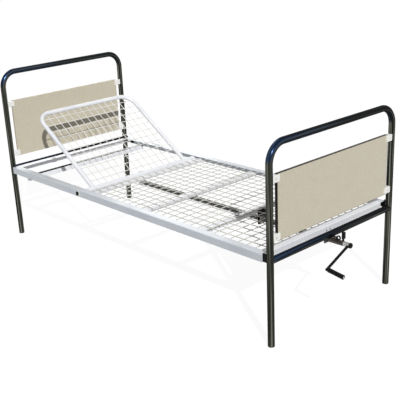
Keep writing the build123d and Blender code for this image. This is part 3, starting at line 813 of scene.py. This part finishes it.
class Slot(Enum):
    """The record's material slots."""

    DARK_CHROME = "dark_chrome"
    RAIL_PAINT = "rail_paint"
    MESH_PAINT = "mesh_paint"
    DECK_WIRE_COAT = "deck_wire_coat"
    BACKREST_WIRE_COAT = "backrest_wire_coat"
    PANEL_LAMINATE = "panel_laminate"
    EDGE_BAND_BROWN = "edge_band_brown"
    EDGE_BAND_BEIGE = "edge_band_beige"
    CLIP_PLASTIC = "clip_plastic"
    ZINC_STEEL = "zinc_steel"
    BLACK_STEEL = "black_steel"
    DRIVE_STEEL = "drive_steel"
    BRACKET_STEEL = "bracket_steel"
    BEARING_PLASTIC = "bearing_plastic"
    BLACK_PLASTIC = "black_plastic"
    BLACK_RUBBER = "black_rubber"
    SCREW_STEEL = "screw_steel"

    def material(self) -> bpy.types.Material:
        """Give the slot's material, made the first time that it is asked for."""
        finish = FINISHES[self]
        return bpy.data.materials.get(finish.name) or finish.make()


FINISHES: dict[Slot, Finish] = {
    Slot.DARK_CHROME: BlackChromePlate(),
    Slot.RAIL_PAINT: PowderCoat("pale_blue_grey_powder_coat", "#D2D8DF", "#C9D0D8", 0.36),
    Slot.MESH_PAINT: PowderCoat("white_powder_coat", "#EDEEF1", "#E3E5EB", 0.32),
    # The deck wires' coat is a greyer white than the backrest wires' coat.
    Slot.DECK_WIRE_COAT: PowderCoat("grey_white_wire_coat", "#D5D3CD", "#C6C4BD", 0.5, gloss=0.08),
    Slot.BACKREST_WIRE_COAT: PowderCoat("off_white_wire_coat", "#EDECE8", "#E2E0DB", 0.42, gloss=0.12),
    Slot.PANEL_LAMINATE: PressedLaminate(),
    Slot.EDGE_BAND_BROWN: EdgingStrip("dark_brown_abs_edging", "#150D09", "#1F1611"),
    Slot.EDGE_BAND_BEIGE: EdgingStrip("beige_abs_edging", "#D2CAB8", "#BDB4A0"),
    Slot.CLIP_PLASTIC: MouldedPlastic("white_moulded_nylon", "#F3F3F0", "#E9E9E5", 0.42),
    Slot.ZINC_STEEL: ZincPlate(),
    Slot.BLACK_STEEL: BlackedSteel(),
    Slot.DRIVE_STEEL: PowderCoat("dark_olive_grey_powder_coat", "#23241F", "#2F302A", 0.42, gloss=0.1),
    Slot.BRACKET_STEEL: PowderCoat("brown_grey_powder_coat", "#332B25", "#28211C", 0.4, gloss=0.06),
    Slot.BEARING_PLASTIC: MouldedPlastic("natural_moulded_acetal", "#E4E2DA", "#D6D3C8", 0.35),
    Slot.BLACK_PLASTIC: MouldedPlastic("black_moulded_nylon", "#0B0B0C", "#131314", 0.42, 0.08),
    Slot.BLACK_RUBBER: MouldedRubber(),
    Slot.SCREW_STEEL: RolledThread(),
}


def slot_of(node: str) -> Slot:
    """Give the slot that the record names for a CAD node."""
    return next(Slot(row["material_slot"]) for row in frame["record"]["subparts"] if row["node"] == node)


def dress(*nodes: str) -> None:
    """Give CAD nodes the finish of their slots.

    Args:
        nodes: the nodes' names.
    """
    for node in nodes:
        slots = frame["nodes"][node].data.materials
        slots.clear()
        slots.append(slot_of(node).material())
    log.info("dressed: %s", ", ".join(nodes))


# ---------------------------------------------------------------- end frames and panels
@dataclass
class EndFrame:
    """One bent tube end frame with its round crossbar. Sizes are millimetres."""

    name: str
    bend: float = 88
    sides: int = 48
    weld: float = 2.2
    weld_inset: float = 1.1  # of the weld's radius, how far its line keeps inside the crossbar's edge

    def __post_init__(self) -> None:
        """Read the frame's place from the CAD."""
        low, high = corners(f"{self.name}_tube_frame")
        self.radius = (high[0] - low[0]) / 2
        self.x = (high[0] + low[0]) / 2
        self.half = high[1] - self.radius
        self.top = high[2] - self.radius
        self.foot = low[2]

    def build(self) -> None:
        """Build and dress the whole frame."""
        self.build_tube()
        self.build_crossbar()

    def build_tube(self) -> None:
        """Carry a circle up one leg, across the top and down the other."""
        run = [(-self.half, self.foot), (-self.half, self.top), (self.half, self.top), (self.half, self.foot)]
        path = round_corners(np.array([(self.x, y, z) for y, z in run]), self.bend * MM, steps=32)
        node = f"{self.name}_tube_frame"
        tube = capped(carried(ring(self.radius, self.sides), path, X))
        Shape().add(tube).piece(f"{self.name}_bent_tube", slot_of(node), "bed_frame", [node])

    def build_crossbar(self) -> None:
        """Set a tube between the legs, cut to sit on them, and weld it all round.

        The weld's line is the edge of a tube that is thinner by the weld's own radius, so that the weld stays
        within the leg's width.
        """
        node = f"{self.name}_crossbar"
        radius = radius_of(node)
        bar = np.linspace(self.edge(radius, -1), self.edge(radius, 1), num=5)
        Shape().add(bar).piece(f"{self.name}_round_crossbar", slot_of(node), "bed_frame", [node])
        welds = Shape()
        for side in (-1, 1):
            line = self.edge(radius - self.weld * self.weld_inset * MM, side)
            welds.add(bead(line, self.weld * MM, Y))
        welds.piece(f"{self.name}_crossbar_welds", slot_of(node), "bed_frame")

    def edge(self, radius: float, side: int) -> np.ndarray:
        """Give the edge of a crossbar that is cut to sit on a leg.

        It is (x + r cos t, side * (half - sqrt(R^2 - (r cos t)^2)), z + r sin t) for t round one turn, where r
        is the crossbar's radius, R the leg's and z the crossbar's height.

        Args:
            radius: the crossbar's radius.
            side: -1 at the right leg and 1 at the left one.

        Returns:
            Points along the edge, the first repeated at the end.
        """
        t = whole_turn(self.sides)
        reach = self.half - np.sqrt(np.maximum(self.radius**2 - (radius * np.cos(t)) ** 2, 0))
        height = middle(f"{self.name}_crossbar")[2] + radius * np.sin(t)
        return np.stack([self.x + radius * np.cos(t), side * reach, height], -1)


@dataclass
class LegTips:
    """The four moulded glides that plug the legs. Stations are millimetres up from the floor and of radius."""

    stations: tuple[tuple[float, float], ...] = (
        (0, 0), (0, 12.6), (0.5, 14.6), (1.5, 15.7), (2.2, 16), (3, 16), (3, 14.2), (20, 14.2), (20, 0),
    )

    def build(self, frames: Sequence[EndFrame]) -> None:
        """Turn a glide for each leg.

        Args:
            frames: the end frames whose legs they plug.
        """
        glides = Shape()
        for end in frames:
            for side in (-1, 1):
                glides.add(turned(self.stations, np.array([end.x, side * end.half, 0]), Z))
        glides.piece("leg_glides", slot_of("leg_tips"), "bed_frame", ["leg_tips"])


@dataclass
class EndPanel:
    """One laminated board with its edging, corner clips and clip screws. Sizes are millimetres."""

    name: str
    outward: int
    band: float = 1.5
    band_round: float = 0.6  # radius of the edging's long edges
    corner: float = 3.0
    screw_radius: float = 4.0
    screw_head: float = 2.0
    screw_crown: float = 0.45  # the share of the head's height that is gone at its rim
    screw_seat: float = 0.4  # how far the head goes into the clip
    slot_width: float = 1.0
    slot_reach: float = 2.5
    slot_depth: float = 1.1
    slot_sides: float = 0.3  # width of the recess's side walls
    slot_ends: float = 0.5  # and of its end walls
    # out from the clip's face, and of radius
    boss: tuple[tuple[float, float], ...] = ((-0.5, 4.4), (0.5, 4.4), (0.7, 4.8), (0.7, 5.8), (0.4, 6.2), (-0.5, 6.2))

    def build(self) -> None:
        """Build and dress the panel and what holds it."""
        dress(f"{self.name}_panel", f"{self.name}_panel_clips")
        self.build_edging()
        self.build_screws()

    def build_edging(self) -> None:
        """Carry the edging's rounded section round the board."""
        node = f"{self.name}_panel_edge_band"
        low, high = corners(node)
        centre, half = (low + high) / 2, (high - low) / 2 - self.band / 2 * MM
        turns = np.array([(0, -1), (1, -1), (1, 1), (-1, 1), (-1, -1), (0, -1)])
        run = centre + np.array([(0, y * half[1], z * half[2]) for y, z in turns])
        path = round_corners(run, self.corner * MM, steps=8)
        section = oblong(self.band * MM, high[0] - low[0], self.band_round * MM)
        Shape().add(carried(section, path, X)).piece(f"{self.name}_panel_edging", slot_of(node), "bed_frame", [node])

    def build_screws(self) -> None:
        """Set a cross-recessed screw and a raised boss round it in each clip."""
        node = f"{self.name}_clip_screws"
        low, high = corners(node)
        inset = self.screw_radius * MM
        clip_low, clip_high = corners(f"{self.name}_panel_clips")
        x, face = (clip_low[0] + clip_high[0]) / 2, (clip_high[0] - clip_low[0]) / 2
        screws, bosses = Shape(), Shape()
        for y in (low[1] + inset, high[1] - inset):
            for z in (low[2] + inset, high[2] - inset):
                centre = np.array([x, y, z])
                screws.add(self.pan_head(centre + self.outward * face * X))
                for side in (-1, 1):
                    bosses.add(turned(self.boss, centre + side * face * X, side * X))
        screws.piece(f"{self.name}_cross_head_screws", slot_of(node), "bed_frame", [node])
        bosses.piece(f"{self.name}_clip_bosses", slot_of(f"{self.name}_panel_clips"), "bed_frame")

    def pan_head(self, base: np.ndarray) -> np.ndarray:
        """Make a pan head with a cross recess.

        At radius r the head is high * (1 - crown (r/R)^4), and less by the recess's depth, with sloping walls,
        where the point lies in either bar of the cross.

        Args:
            base: the middle of the head's underside.

        Returns:
            A grid of points, from the head's top down to its underside.
        """
        share = np.linspace(0, 1, num=16)[:, None]
        t = whole_turn(48)[None]
        r = share * self.screw_radius
        across, up = r * np.cos(t), r * np.sin(t)
        bars = [
            np.clip((self.slot_width - abs(beside)) / self.slot_sides + 0.5, 0, 1)
            * np.clip((self.slot_reach - abs(along)) / self.slot_ends + 0.5, 0, 1)
            for beside, along in ((across, up), (up, across))
        ]
        high = self.screw_head * (1 - self.screw_crown * share**4) - self.slot_depth * np.maximum(*bars)
        top = np.stack([self.outward * high, across, up], -1)
        foot = np.stack([0 * t - self.outward * self.screw_seat, across[-1:], up[-1:]], -1)
        return base + np.concatenate([top, foot, foot * X]) * MM


# ---------------------------------------------------------------- mesh base
@dataclass
class MeshBase:
    """The welded base: rails, crossbars and wires. Sizes are millimetres."""

    wall: float = 3
    fold: float = 3.5
    long_wires: int = 15
    cross_wires: int = 25
    weld: float = 1.8
    end_weld: float = 1.3
    end_weld_inset: float = 2  # from the end rail's edges
    end_weld_sink: float = 0.9  # below the end rail's top

    def build(self) -> None:
        """Build and dress the base."""
        dress("rest_bar_rubber", "corner_brackets", "corner_bolts", "deck_long_wires", "deck_cross_wires")
        dress("pivot_bushes")
        for node, inward in (("right_side_rail", 1), ("left_side_rail", -1)):
            self.build_angle(node, X, inward)
        for node in ("foot_end_rail", "hinge_crossbar", "middle_crossbar", "lower_crossbar", "backrest_rest_bar"):
            self.build_angle(node, Y, -1)
        self.build_angle("head_end_rail", Y, 1)
        self.build_crossbar_welds()
        self.build_end_welds()
        self.build_wire_welds()

    def build_angle(self, node: str, along: np.ndarray, inward: int) -> None:
        """Carry a folded section along a bar's length and close its ends.

        Each end is drawn to the middle of the fold, the one place from which a whole angle section is seen.

        Args:
            node: the bar's CAD node.
            along: the bar's direction.
            inward: which way its top flange goes across that, 1 or -1.
        """
        low, high = corners(node)
        across = Y if along is X else X
        corner = np.where(across * inward > 0, low, high) * (1 - along) + low * along
        path = np.stack([corner * (1, 1, 0), corner * (1, 1, 0)]) + high[2] * Z
        path[1] += (high - low) * along
        run = (high - low) @ across * inward * (1 if along is X else -1)
        section = folded(run, high[2] - low[2], self.wall * MM, self.fold * MM)
        bar = carried(section, path, Z)
        fold = np.broadcast_to(np.array([np.sign(run), -1]) * self.wall / 2 * MM, section.shape)
        ends = carried(fold, path, Z)
        bar = np.concatenate([ends[:1], bar, ends[1:]])
        Shape().add(bar).piece(f"{node}_folded", slot_of(node), "bed_frame", [node])

    def build_crossbar_welds(self) -> None:
        """Weld each crossbar's end to the rail along its top and its upright."""
        welds = Shape()
        for node in ("hinge_crossbar", "middle_crossbar", "lower_crossbar", "backrest_rest_bar"):
            low, high = corners(node)
            for y in (low[1], high[1]):
                run = np.array([(low[0], y, high[2]), (high[0], y, high[2]), (high[0], y, low[2])])
                welds.add(bead(run, self.weld * MM, Y))
        welds.piece("crossbar_welds", Slot.MESH_PAINT, "bed_frame")

    def build_end_welds(self) -> None:
        """Run a flat weld where each end rail's top meets a side rail's."""
        welds = Shape()
        for node in ("head_end_rail", "foot_end_rail"):
            low, high = corners(node)
            inset, z = self.end_weld_inset * MM, high[2] - self.end_weld_sink * MM
            for y in (low[1], high[1]):
                run = np.array([(low[0] + inset, y, z), (high[0] - inset, y, z)])
                welds.add(bead(run, self.end_weld * MM, Z))
        welds.piece("end_rail_welds", Slot.MESH_PAINT, "bed_frame")

    def build_wire_welds(self) -> None:
        """Put a spot weld's flash at every crossing of the wires."""
        long_low, long_high = corners("deck_long_wires")
        cross_low, cross_high = corners("deck_cross_wires")
        r = radius_of("deck_cross_wires")
        xs = np.linspace(cross_low[0] + r, cross_high[0] - r, self.cross_wires)
        ys = np.linspace(long_low[1] + r, long_high[1] - r, self.long_wires)
        places = np.stack([*np.meshgrid(xs, ys), np.full((len(ys), len(xs)), long_high[2])], -1).reshape(-1, 3)
        Shape().add(pebbles(places, FLASH, np.eye(3))).piece("deck_spot_welds", Slot.DECK_WIRE_COAT, "bed_frame")


# ---------------------------------------------------------------- backrest
@dataclass
class Backrest:
    """The hinged backrest: a bent tube loop welded to the tube that it turns on, and its wires, in millimetres."""

    length: float = 616
    width: float = 688
    bend: float = 80
    angle: float = 34
    tube: float = 12.5  # radius of the loop's tube
    tuck: float = 4  # how far the loop's ends go into the hinge tube
    long_wires: int = 13
    cross_wires: int = 11
    wire: float = 4
    weld: float = 2.0
    sides: int = 40

    def __post_init__(self) -> None:
        """Read the hinge's place from the CAD and set the loop's axes: up the backrest, across it, and out of it."""
        self.hinge = middle("backrest_hinge_tube")
        self.hinge_radius = radius_of("backrest_hinge_tube")
        self.radius = self.tube * MM
        tilt = math.radians(self.angle)
        self.up = np.array([-math.cos(tilt), 0, math.sin(tilt)])
        self.out = np.array([math.sin(tilt), 0, math.cos(tilt)])
        self.half = self.width / 2 * MM

    def at(self, up: np.ndarray | float, across: np.ndarray | float, out: np.ndarray | float = 0.0) -> np.ndarray:
        """Place points given in metres along the loop's three axes from the hinge."""
        up, across, out = np.broadcast_arrays(up, across, out)
        return self.hinge + up[..., None] * self.up + across[..., None] * Y + out[..., None] * self.out

    def build(self) -> None:
        """Build and dress the backrest."""
        dress("backrest_long_wires", "backrest_cross_wires", "hinge_tube_plugs", "pivot_bolts", "backrest_hinge_tube")
        self.build_loop()
        self.build_welds()
        self.build_wire_welds()

    def build_loop(self) -> None:
        """Carry a circle round the loop, from the hinge tube's side and back to it."""
        start, far = self.hinge_radius - self.tuck * MM, self.length * MM
        run = self.at(np.array([start, far, far, start]), np.array([-1, -1, 1, 1]) * self.half)
        path = round_corners(run, self.bend * MM, steps=28)
        tube = capped(carried(ring(self.radius, self.sides), path, self.out))
        Shape().add(tube).piece("backrest_bent_tube", Slot.MESH_PAINT, "backrest", ["backrest_tube_frame"])

    def build_welds(self) -> None:
        """Weld the loop to the hinge tube all round.

        The joint's line is sqrt(R^2 - (r sin t)^2) up, half + r cos t across and r sin t out, where r is the
        loop's radius and R the hinge tube's.
        """
        t = whole_turn(48)
        r = self.radius
        up = np.sqrt(self.hinge_radius**2 - (r * np.sin(t)) ** 2)
        welds = Shape()
        for side in (-1, 1):
            line = self.at(up, side * self.half + r * np.cos(t), r * np.sin(t))
            welds.add(bead(line, self.weld * MM, self.up))
        welds.piece("backrest_hinge_welds", Slot.MESH_PAINT, "backrest")

    def build_wire_welds(self) -> None:
        """Put a spot weld's flash at every crossing that lies inside the loop's round corners."""
        clear = self.half - self.radius
        step = self.length * MM / (self.cross_wires + 1)
        up = step * np.arange(1, self.cross_wires + 1)
        across = np.linspace(-1, 1, self.long_wires + 2)[1:-1] * clear
        up, across = [values.ravel() for values in np.meshgrid(up, across)]
        bend = self.bend * MM
        past = np.hypot(np.maximum(up - (self.length * MM - bend), 0), np.maximum(abs(across) - (self.half - bend), 0))
        inside = past < bend - self.radius - self.wire * MM
        flash = pebbles(self.at(up[inside], across[inside]), FLASH, np.stack([self.up, Y, self.out]))
        Shape().add(flash).piece("backrest_spot_welds", Slot.BACKREST_WIRE_COAT, "backrest")


# ---------------------------------------------------------------- drive and crank
@dataclass
class LiftDrive:
    """Lever, push tube, hanger and bearing under the base. Sizes are millimetres."""

    weld: float = 1.7
    weld_sink: float = 0.8  # how far the eye's weld lies within the push tube's outside
    weld_stand: float = 0.4  # how far the other welds stand out from their tubes
    bracket_wall: float = 5

    def build(self) -> None:
        """Build and dress the drive."""
        dress("lift_lever_plates", "lever_pin", "push_tube", "push_tube_eye", "travel_nut", "push_tube_hanger")
        dress("hanger_bolts", "push_tube_guide_bush", "crank_bracket", "crank_bracket_bolts")
        dress("crank_bearing_tube", "crank_bearing_bushes", "bracket_eye", "crank_rest_clip")
        self.build_welds()

    def build_welds(self) -> None:
        """Weld the eye into the push tube, the lever plates round the hinge tube and the bearing to its bracket."""
        bracket = corners("crank_bracket")[0]
        faces = (bracket, bracket + self.bracket_wall * MM)
        plates = corners("lift_lever_plates")
        rings = (
            ("push_tube_eye_weld", "push_tube", "push_rod", "push_tube", corners("push_tube")[:1], X, -self.weld_sink),
            ("lift_lever_welds", "lift_lever_plates", "backrest", "backrest_hinge_tube", plates, Y, self.weld_stand),
            ("bearing_tube_welds", "crank_bracket", "bed_frame", "crank_bearing_tube", faces, X, self.weld_stand),
        )
        for name, dressed, body, tube, places, axis, stand in rings:
            welds = Shape()
            for place in places:
                centre = middle(tube) * (1 - axis) + place * axis
                welds.add(self.ring_weld(centre, axis, radius_of(tube) + stand * MM))
            welds.piece(name, slot_of(dressed), body)

    def ring_weld(self, centre: np.ndarray, axis: np.ndarray, radius: float) -> np.ndarray:
        """Lay a bead round a circle.

        Args:
            centre: the circle's middle.
            axis: the direction that the circle lies square to.
            radius: the circle's radius.

        Returns:
            A closed grid of points.
        """
        across = unit(np.cross(axis, Z))
        up = np.cross(axis, across)
        circle = ring(radius, sides=60)
        path = centre + circle[:, :1] * across + circle[:, 1:] * up
        return bead(path, self.weld * MM, axis)


@dataclass
class Crank:
    """The lead screw and the crank that turns it. Sizes are millimetres."""

    lead: float = 4
    rows: int = 10  # rows of points to one turn of the thread
    thread_depth: float = 1.6
    flank: float = 2.2  # how steep the thread's flanks are
    runout: float = 4  # from the thread's end to the thrust collar
    hub: float = 29.5  # length of the steel hub, up to its black end cap
    hub_step: float = 0.6  # how far the cap stands out beyond the steel
    hub_chamfer: float = 0.8
    groove: float = 11  # from the hub's inner end
    groove_width: float = 2
    groove_depth: float = 0.7
    groove_slope: float = 0.6  # length of the slope at each side
    cap_lap: float = 1  # how far the cap goes back over the steel
    # the cap's rounded rim, back from its end and less than its radius
    cap_rim: tuple[tuple[float, float], ...] = ((2.5, 0), (0.6, 1.6), (0, 2.8))
    # the dimple in the cap's end, back from its end and of radius
    dimple: tuple[tuple[float, float], ...] = ((0, 3.5), (0.8, 3), (0.8, 0))
    arm_root: float = 11  # from the hub's axis to where the arm starts
    arm_past: float = 9  # from the grip's axis to the arm's end
    arm_weld: float = 1.5
    # the arm's domed end, back from its end and less than its radius
    dome: tuple[tuple[float, float], ...] = ((3, 0), (1.2, 1), (0.2, 3))
    grip_start: float = 8.62  # from the elbow, along the grip
    grip_length: float = 92
    grip_radius: float = 11
    grip_round: float = 3  # rounding of the grip's ends
    rib: float = 7.5  # from rib to rib on the grip
    rib_depth: float = 0.9
    rib_start: float = 10  # the first rib's top, from the grip's end
    rib_clear: float = 8  # of plain grip at each end
    rib_fade: float = 3  # in which the ribs reach their depth

    def build(self) -> None:
        """Build and dress the crank."""
        dress("thrust_collar", "hub_pin", "grip_spindle", "grip_retainer")
        self.axis = middle("crank_hub")
        spin = next(joint for joint in frame["joints"] if joint["name"] == "grip_spin")
        self.elbow, self.grip_axis = np.array(spin["pos_m"]), unit(np.array(spin["axis"], float))
        self.build_screw()
        self.build_hub()
        self.build_arm()
        self.build_grip()

    def build_screw(self) -> None:
        """Cut a trapezoidal thread as far as the thrust collar and leave the rest plain.

        The radius at x and angle t is the crest's less the depth times a trapezium wave of
        x / lead - t / (one turn), which fades out over the last turn.
        """
        low, high = corners("lead_screw")
        end = corners("thrust_collar")[0][0] - self.runout * MM
        x = np.concatenate([np.arange(low[0], end, self.lead / self.rows * MM), [end, high[0]]])
        t = whole_turn(32)
        phase = (x[:, None] - low[0]) / (self.lead * MM) - t / (2 * np.pi)
        wave = np.clip(self.flank * (0.5 - abs(2 * (phase % 1) - 1)) + 0.5, 0, 1)
        fade = np.clip((end - x) / (self.lead * MM), 0, 1)[:, None]
        r = radius_of("lead_screw") - self.thread_depth * MM * wave * fade
        place = middle("lead_screw")
        grid = np.stack([x[:, None] + 0 * r, place[1] + r * np.cos(t), place[2] + r * np.sin(t)], -1)
        screw = Shape().add(capped(grid))
        screw.piece("threaded_lead_screw", slot_of("lead_screw"), "crank", ["lead_screw"], sharp=60)

    def build_hub(self) -> None:
        """Turn the steel hub with its groove, and the black cap on its outer end with a dimple in it."""
        low, high = corners("crank_hub")
        base = np.array([low[0], self.axis[1], self.axis[2]])
        full, radius = (high[0] - low[0]) / MM, radius_of("crank_hub") / MM
        steel = radius - self.hub_step
        floor, far = steel - self.groove_depth, self.groove + self.groove_width
        hub = [(0, 0), (0, steel - self.hub_chamfer), (self.hub_chamfer, steel), (self.groove, steel)]
        hub += [(self.groove + self.groove_slope, floor), (far, floor), (far + self.groove_slope, steel)]
        hub += [(self.hub, steel), (self.hub, 0)]
        Shape().add(turned(hub, base, X, sides=48)).piece("turned_hub", Slot.ZINC_STEEL, "crank", ["crank_hub"])
        lap = self.hub - self.cap_lap
        cap = [(lap, 0), (lap, steel), (lap + self.hub_step, radius)]
        cap += [(full - back, radius - less) for back, less in self.cap_rim]
        cap += [(full - back, r) for back, r in self.dimple]
        Shape().add(turned(cap, base, X, sides=48)).piece("hub_end_cap", Slot.BLACK_PLASTIC, "crank")

    def build_arm(self) -> None:
        """Turn the arm's bar with a domed end and weld it to the hub.

        The weld's line is where a bar of radius a meets the hub of radius h: a cos t along the hub,
        a sin t beside the arm and sqrt(h^2 - (a sin t)^2) out along it.
        """
        arm_low, arm_high = corners("crank_arm")
        root = np.array([self.elbow[0], self.axis[1], self.axis[2]])
        out = unit(self.elbow - root)
        end = np.linalg.norm(self.elbow - root) / MM + self.arm_past
        a = (arm_high[0] - arm_low[0]) / 2 / MM
        bar = [(self.arm_root, 0), (self.arm_root, a), *((end - back, a - less) for back, less in self.dome), (end, 0)]
        arm = Shape().add(turned(bar, root, out, sides=32))
        arm.piece("crank_arm_bar", slot_of("crank_arm"), "crank", ["crank_arm"])
        t = whole_turn(40)[:, None]
        hub = (corners("crank_hub")[1][2] - self.axis[2]) / MM - self.hub_step
        side = np.cross(X, out)
        line = root + MM * (a * np.cos(t) * X + a * np.sin(t) * side + np.sqrt(hub**2 - (a * np.sin(t)) ** 2) * out)
        Shape().add(bead(line, self.arm_weld * MM, out)).piece("crank_arm_weld", slot_of("crank_arm"), "crank")

    def build_grip(self) -> None:
        """Turn the ribbed grip.

        The radius dips by rib_depth * (1 - cos)/2 from rib to rib, but not near the ends, and both ends round
        off on a quarter ellipse.
        """
        length = self.grip_length
        a = np.linspace(0, length, num=211)
        from_end = np.minimum(a, length - a)
        inner = np.clip((from_end - self.rib_clear) / self.rib_fade, 0, 1)
        dip = self.rib_depth * inner * (0.5 - 0.5 * np.cos(2 * np.pi * (a - self.rib_start) / self.rib))
        end = np.clip(1 - from_end / self.grip_round, 0, 1)
        r = self.grip_radius - dip - self.grip_round * (1 - np.sqrt(1 - end**2))
        stations = np.concatenate([[(0, 0)], np.stack([a, r], -1), [(length, 0)]])
        base = self.elbow + self.grip_start * MM * self.grip_axis
        grip = Shape().add(turned(stations, base, self.grip_axis, sides=36))
        grip.piece("ribbed_grip", slot_of("crank_grip"), "grip", ["crank_grip"], sharp=60)


# ---------------------------------------------------------------- studio
@dataclass
class Studio:
    """A pale floor, faint light all round, a main lamp with two soft ones and the camera. Sizes are metres.

    The main lamp is far off beyond the foot's right corner, so the backrest's shadow falls on the head panel and
    the foot panel's on the wires. The soft lamps light what faces the head, the left side and up.
    """

    floor: float = 60
    floor_grey: float = 0.6  # as the bed is lit by it
    floor_shade: float = 0.12  # what the lamps add to the floor as it is seen, which keeps its shadows
    floor_glow: float = 0.93  # the floor as it is seen in shadow
    ambient: float = 0.05
    main_way: tuple[float, float, float] = (0.705, -0.423, 0.569)
    main_light: float = 3.1  # watts to the square metre, where pi shows a white surface as white
    main_spread: float = 0.6  # degrees across
    # name, watts, place, width
    lamps: tuple[tuple[str, float, tuple[float, float, float], float], ...] = (
        ("behind", 60, (-4.2, 2.6, 2.8), 2.6),
        ("overhead", 30, (-2.3, 0.5, 4.6), 3.0),
    )
    lit: tuple[float, float, float] = (0, 0, 0.4)  # the place that the soft lamps face
    eye: tuple[float, float, float] = (4.1604, -2.7241, 1.7719)  # from the head frame's middle on the floor
    heading: float = 49.087  # degrees
    height: float = 20.1011  # degrees above level, as seen from the bed
    roll: float = -3.1973  # degrees
    sensor: float = 36  # millimetres across
    lens: float = 70.712  # millimetres
    shift: tuple[float, float] = (0.05376, 0.0325)

    def build(self) -> None:
        """Set the whole stage."""
        self.build_world()
        self.build_floor()
        self.build_lamps()
        self.build_camera()
        bpy.context.scene.view_settings.view_transform = "Standard"

    def seen(self, tree: Tree) -> bpy.types.Node:
        """Add nodes that tell the rays that show a thing from those that light others.

        Args:
            tree: the tree to add them to.

        Returns:
            A node that gives 1 to rays from the camera, mirrored rays and rays through glass, and 0 to others.
        """
        rays = tree.add("LightPath")
        direct = {0: rays.outputs["Is Camera Ray"], 1: rays.outputs["Is Glossy Ray"]}
        either = tree.add("Math", direct, operation="MAXIMUM")
        return tree.add("Math", {0: either, 1: rays.outputs["Is Transmission Ray"]}, operation="MAXIMUM")

    def build_world(self) -> None:
        """Light faintly all round, and show white to the camera and in reflections."""
        tree = Tree(bpy.data.worlds.new("white_room"))
        strength = tree.add("MapRange", {"Value": self.seen(tree), "To Min": self.ambient})
        bpy.context.scene.world = tree.close(tree.add("Background", {"Color": (1, 1, 1, 1), "Strength": strength}))

    def build_floor(self) -> None:
        """Lay a pale floor that looks white to the camera where it is lit and keeps the shadows."""
        tree = Tree(bpy.data.materials.new("pale_studio_floor"))
        grey, shade = ({"Color": (*[share] * 3, 1)} for share in (self.floor_grey, self.floor_shade))
        glow = tree.add("Emission", {"Color": (1, 1, 1, 1), "Strength": self.floor_glow})
        lifted = tree.add("AddShader", {0: tree.add("BsdfDiffuse", shade), 1: glow})
        both = {0: self.seen(tree), 1: tree.add("BsdfDiffuse", grey), 2: lifted}
        half = self.floor / 2
        mesh = bpy.data.meshes.new("studio_floor")
        mesh.from_pydata([(-half, -half, 0), (half, -half, 0), (half, half, 0), (-half, half, 0)], [], [(0, 1, 2, 3)])
        mesh.materials.append(tree.close(tree.add("MixShader", both)))
        placed("studio_floor", mesh)

    def build_lamps(self) -> None:
        """Light everything from one far-off place, and hang soft square lamps that face the bed."""
        sun = self.lamp("main", "SUN", self.main_light, -Vector(self.main_way))
        sun.data.angle = math.radians(self.main_spread)
        for name, watts, place, width in self.lamps:
            soft = self.lamp(name, "AREA", watts, Vector(self.lit) - Vector(place))
            soft.location = place
            soft.data.size = width

    def lamp(self, name: str, kind: str, power: float, way: Vector) -> bpy.types.Object:
        """Make a lamp.

        Args:
            name: its name.
            kind: Blender's word for the kind of lamp.
            power: watts, or for a sun watts to the square metre.
            way: the direction that it shines in.

        Returns:
            The lamp's object.
        """
        light = bpy.data.lights.new(name, kind)
        light.energy = power
        made = placed(name, light)
        made.rotation_euler = way.to_track_quat("-Z", "Y").to_euler()
        return made

    def build_camera(self) -> None:
        """Stand the camera beyond the foot's right corner, looking down along the bed with a slight roll."""
        heading, height, roll = (math.radians(angle) for angle in (self.heading, self.height, self.roll))
        level = np.array([math.sin(heading), -math.cos(heading), 0])
        back = level * math.cos(height) + Z * math.sin(height)
        right = np.array([math.cos(heading), math.sin(heading), 0])
        up = np.cross(back, right)
        rolled_right = right * math.cos(roll) + up * math.sin(roll)
        rolled_up = up * math.cos(roll) - right * math.sin(roll)
        lens = bpy.data.cameras.new("camera")
        lens.sensor_width = self.sensor
        lens.lens = self.lens
        lens.shift_x, lens.shift_y = self.shift
        camera = placed("camera", lens)
        matrix = Matrix([Vector(rolled_right), Vector(rolled_up), Vector(back)]).transposed().to_4x4()
        matrix.translation = Vector(middle("head_tube_frame") * X + self.eye)
        camera.matrix_world = matrix
        bpy.context.scene.camera = camera


def main() -> None:
    """Build the bed from its frames to its crank, then set the stage."""
    logging.basicConfig(level=logging.INFO, format="%(message)s")
    frames = [EndFrame("head"), EndFrame("foot")]
    for end in frames:
        end.build()
    LegTips().build(frames)
    for panel in (EndPanel("head", -1), EndPanel("foot", 1)):
        panel.build()
    for assembly in (MeshBase(), Backrest(), LiftDrive(), Crank(), Studio()):
        assembly.build()


if __name__ == "__main__":
    main()
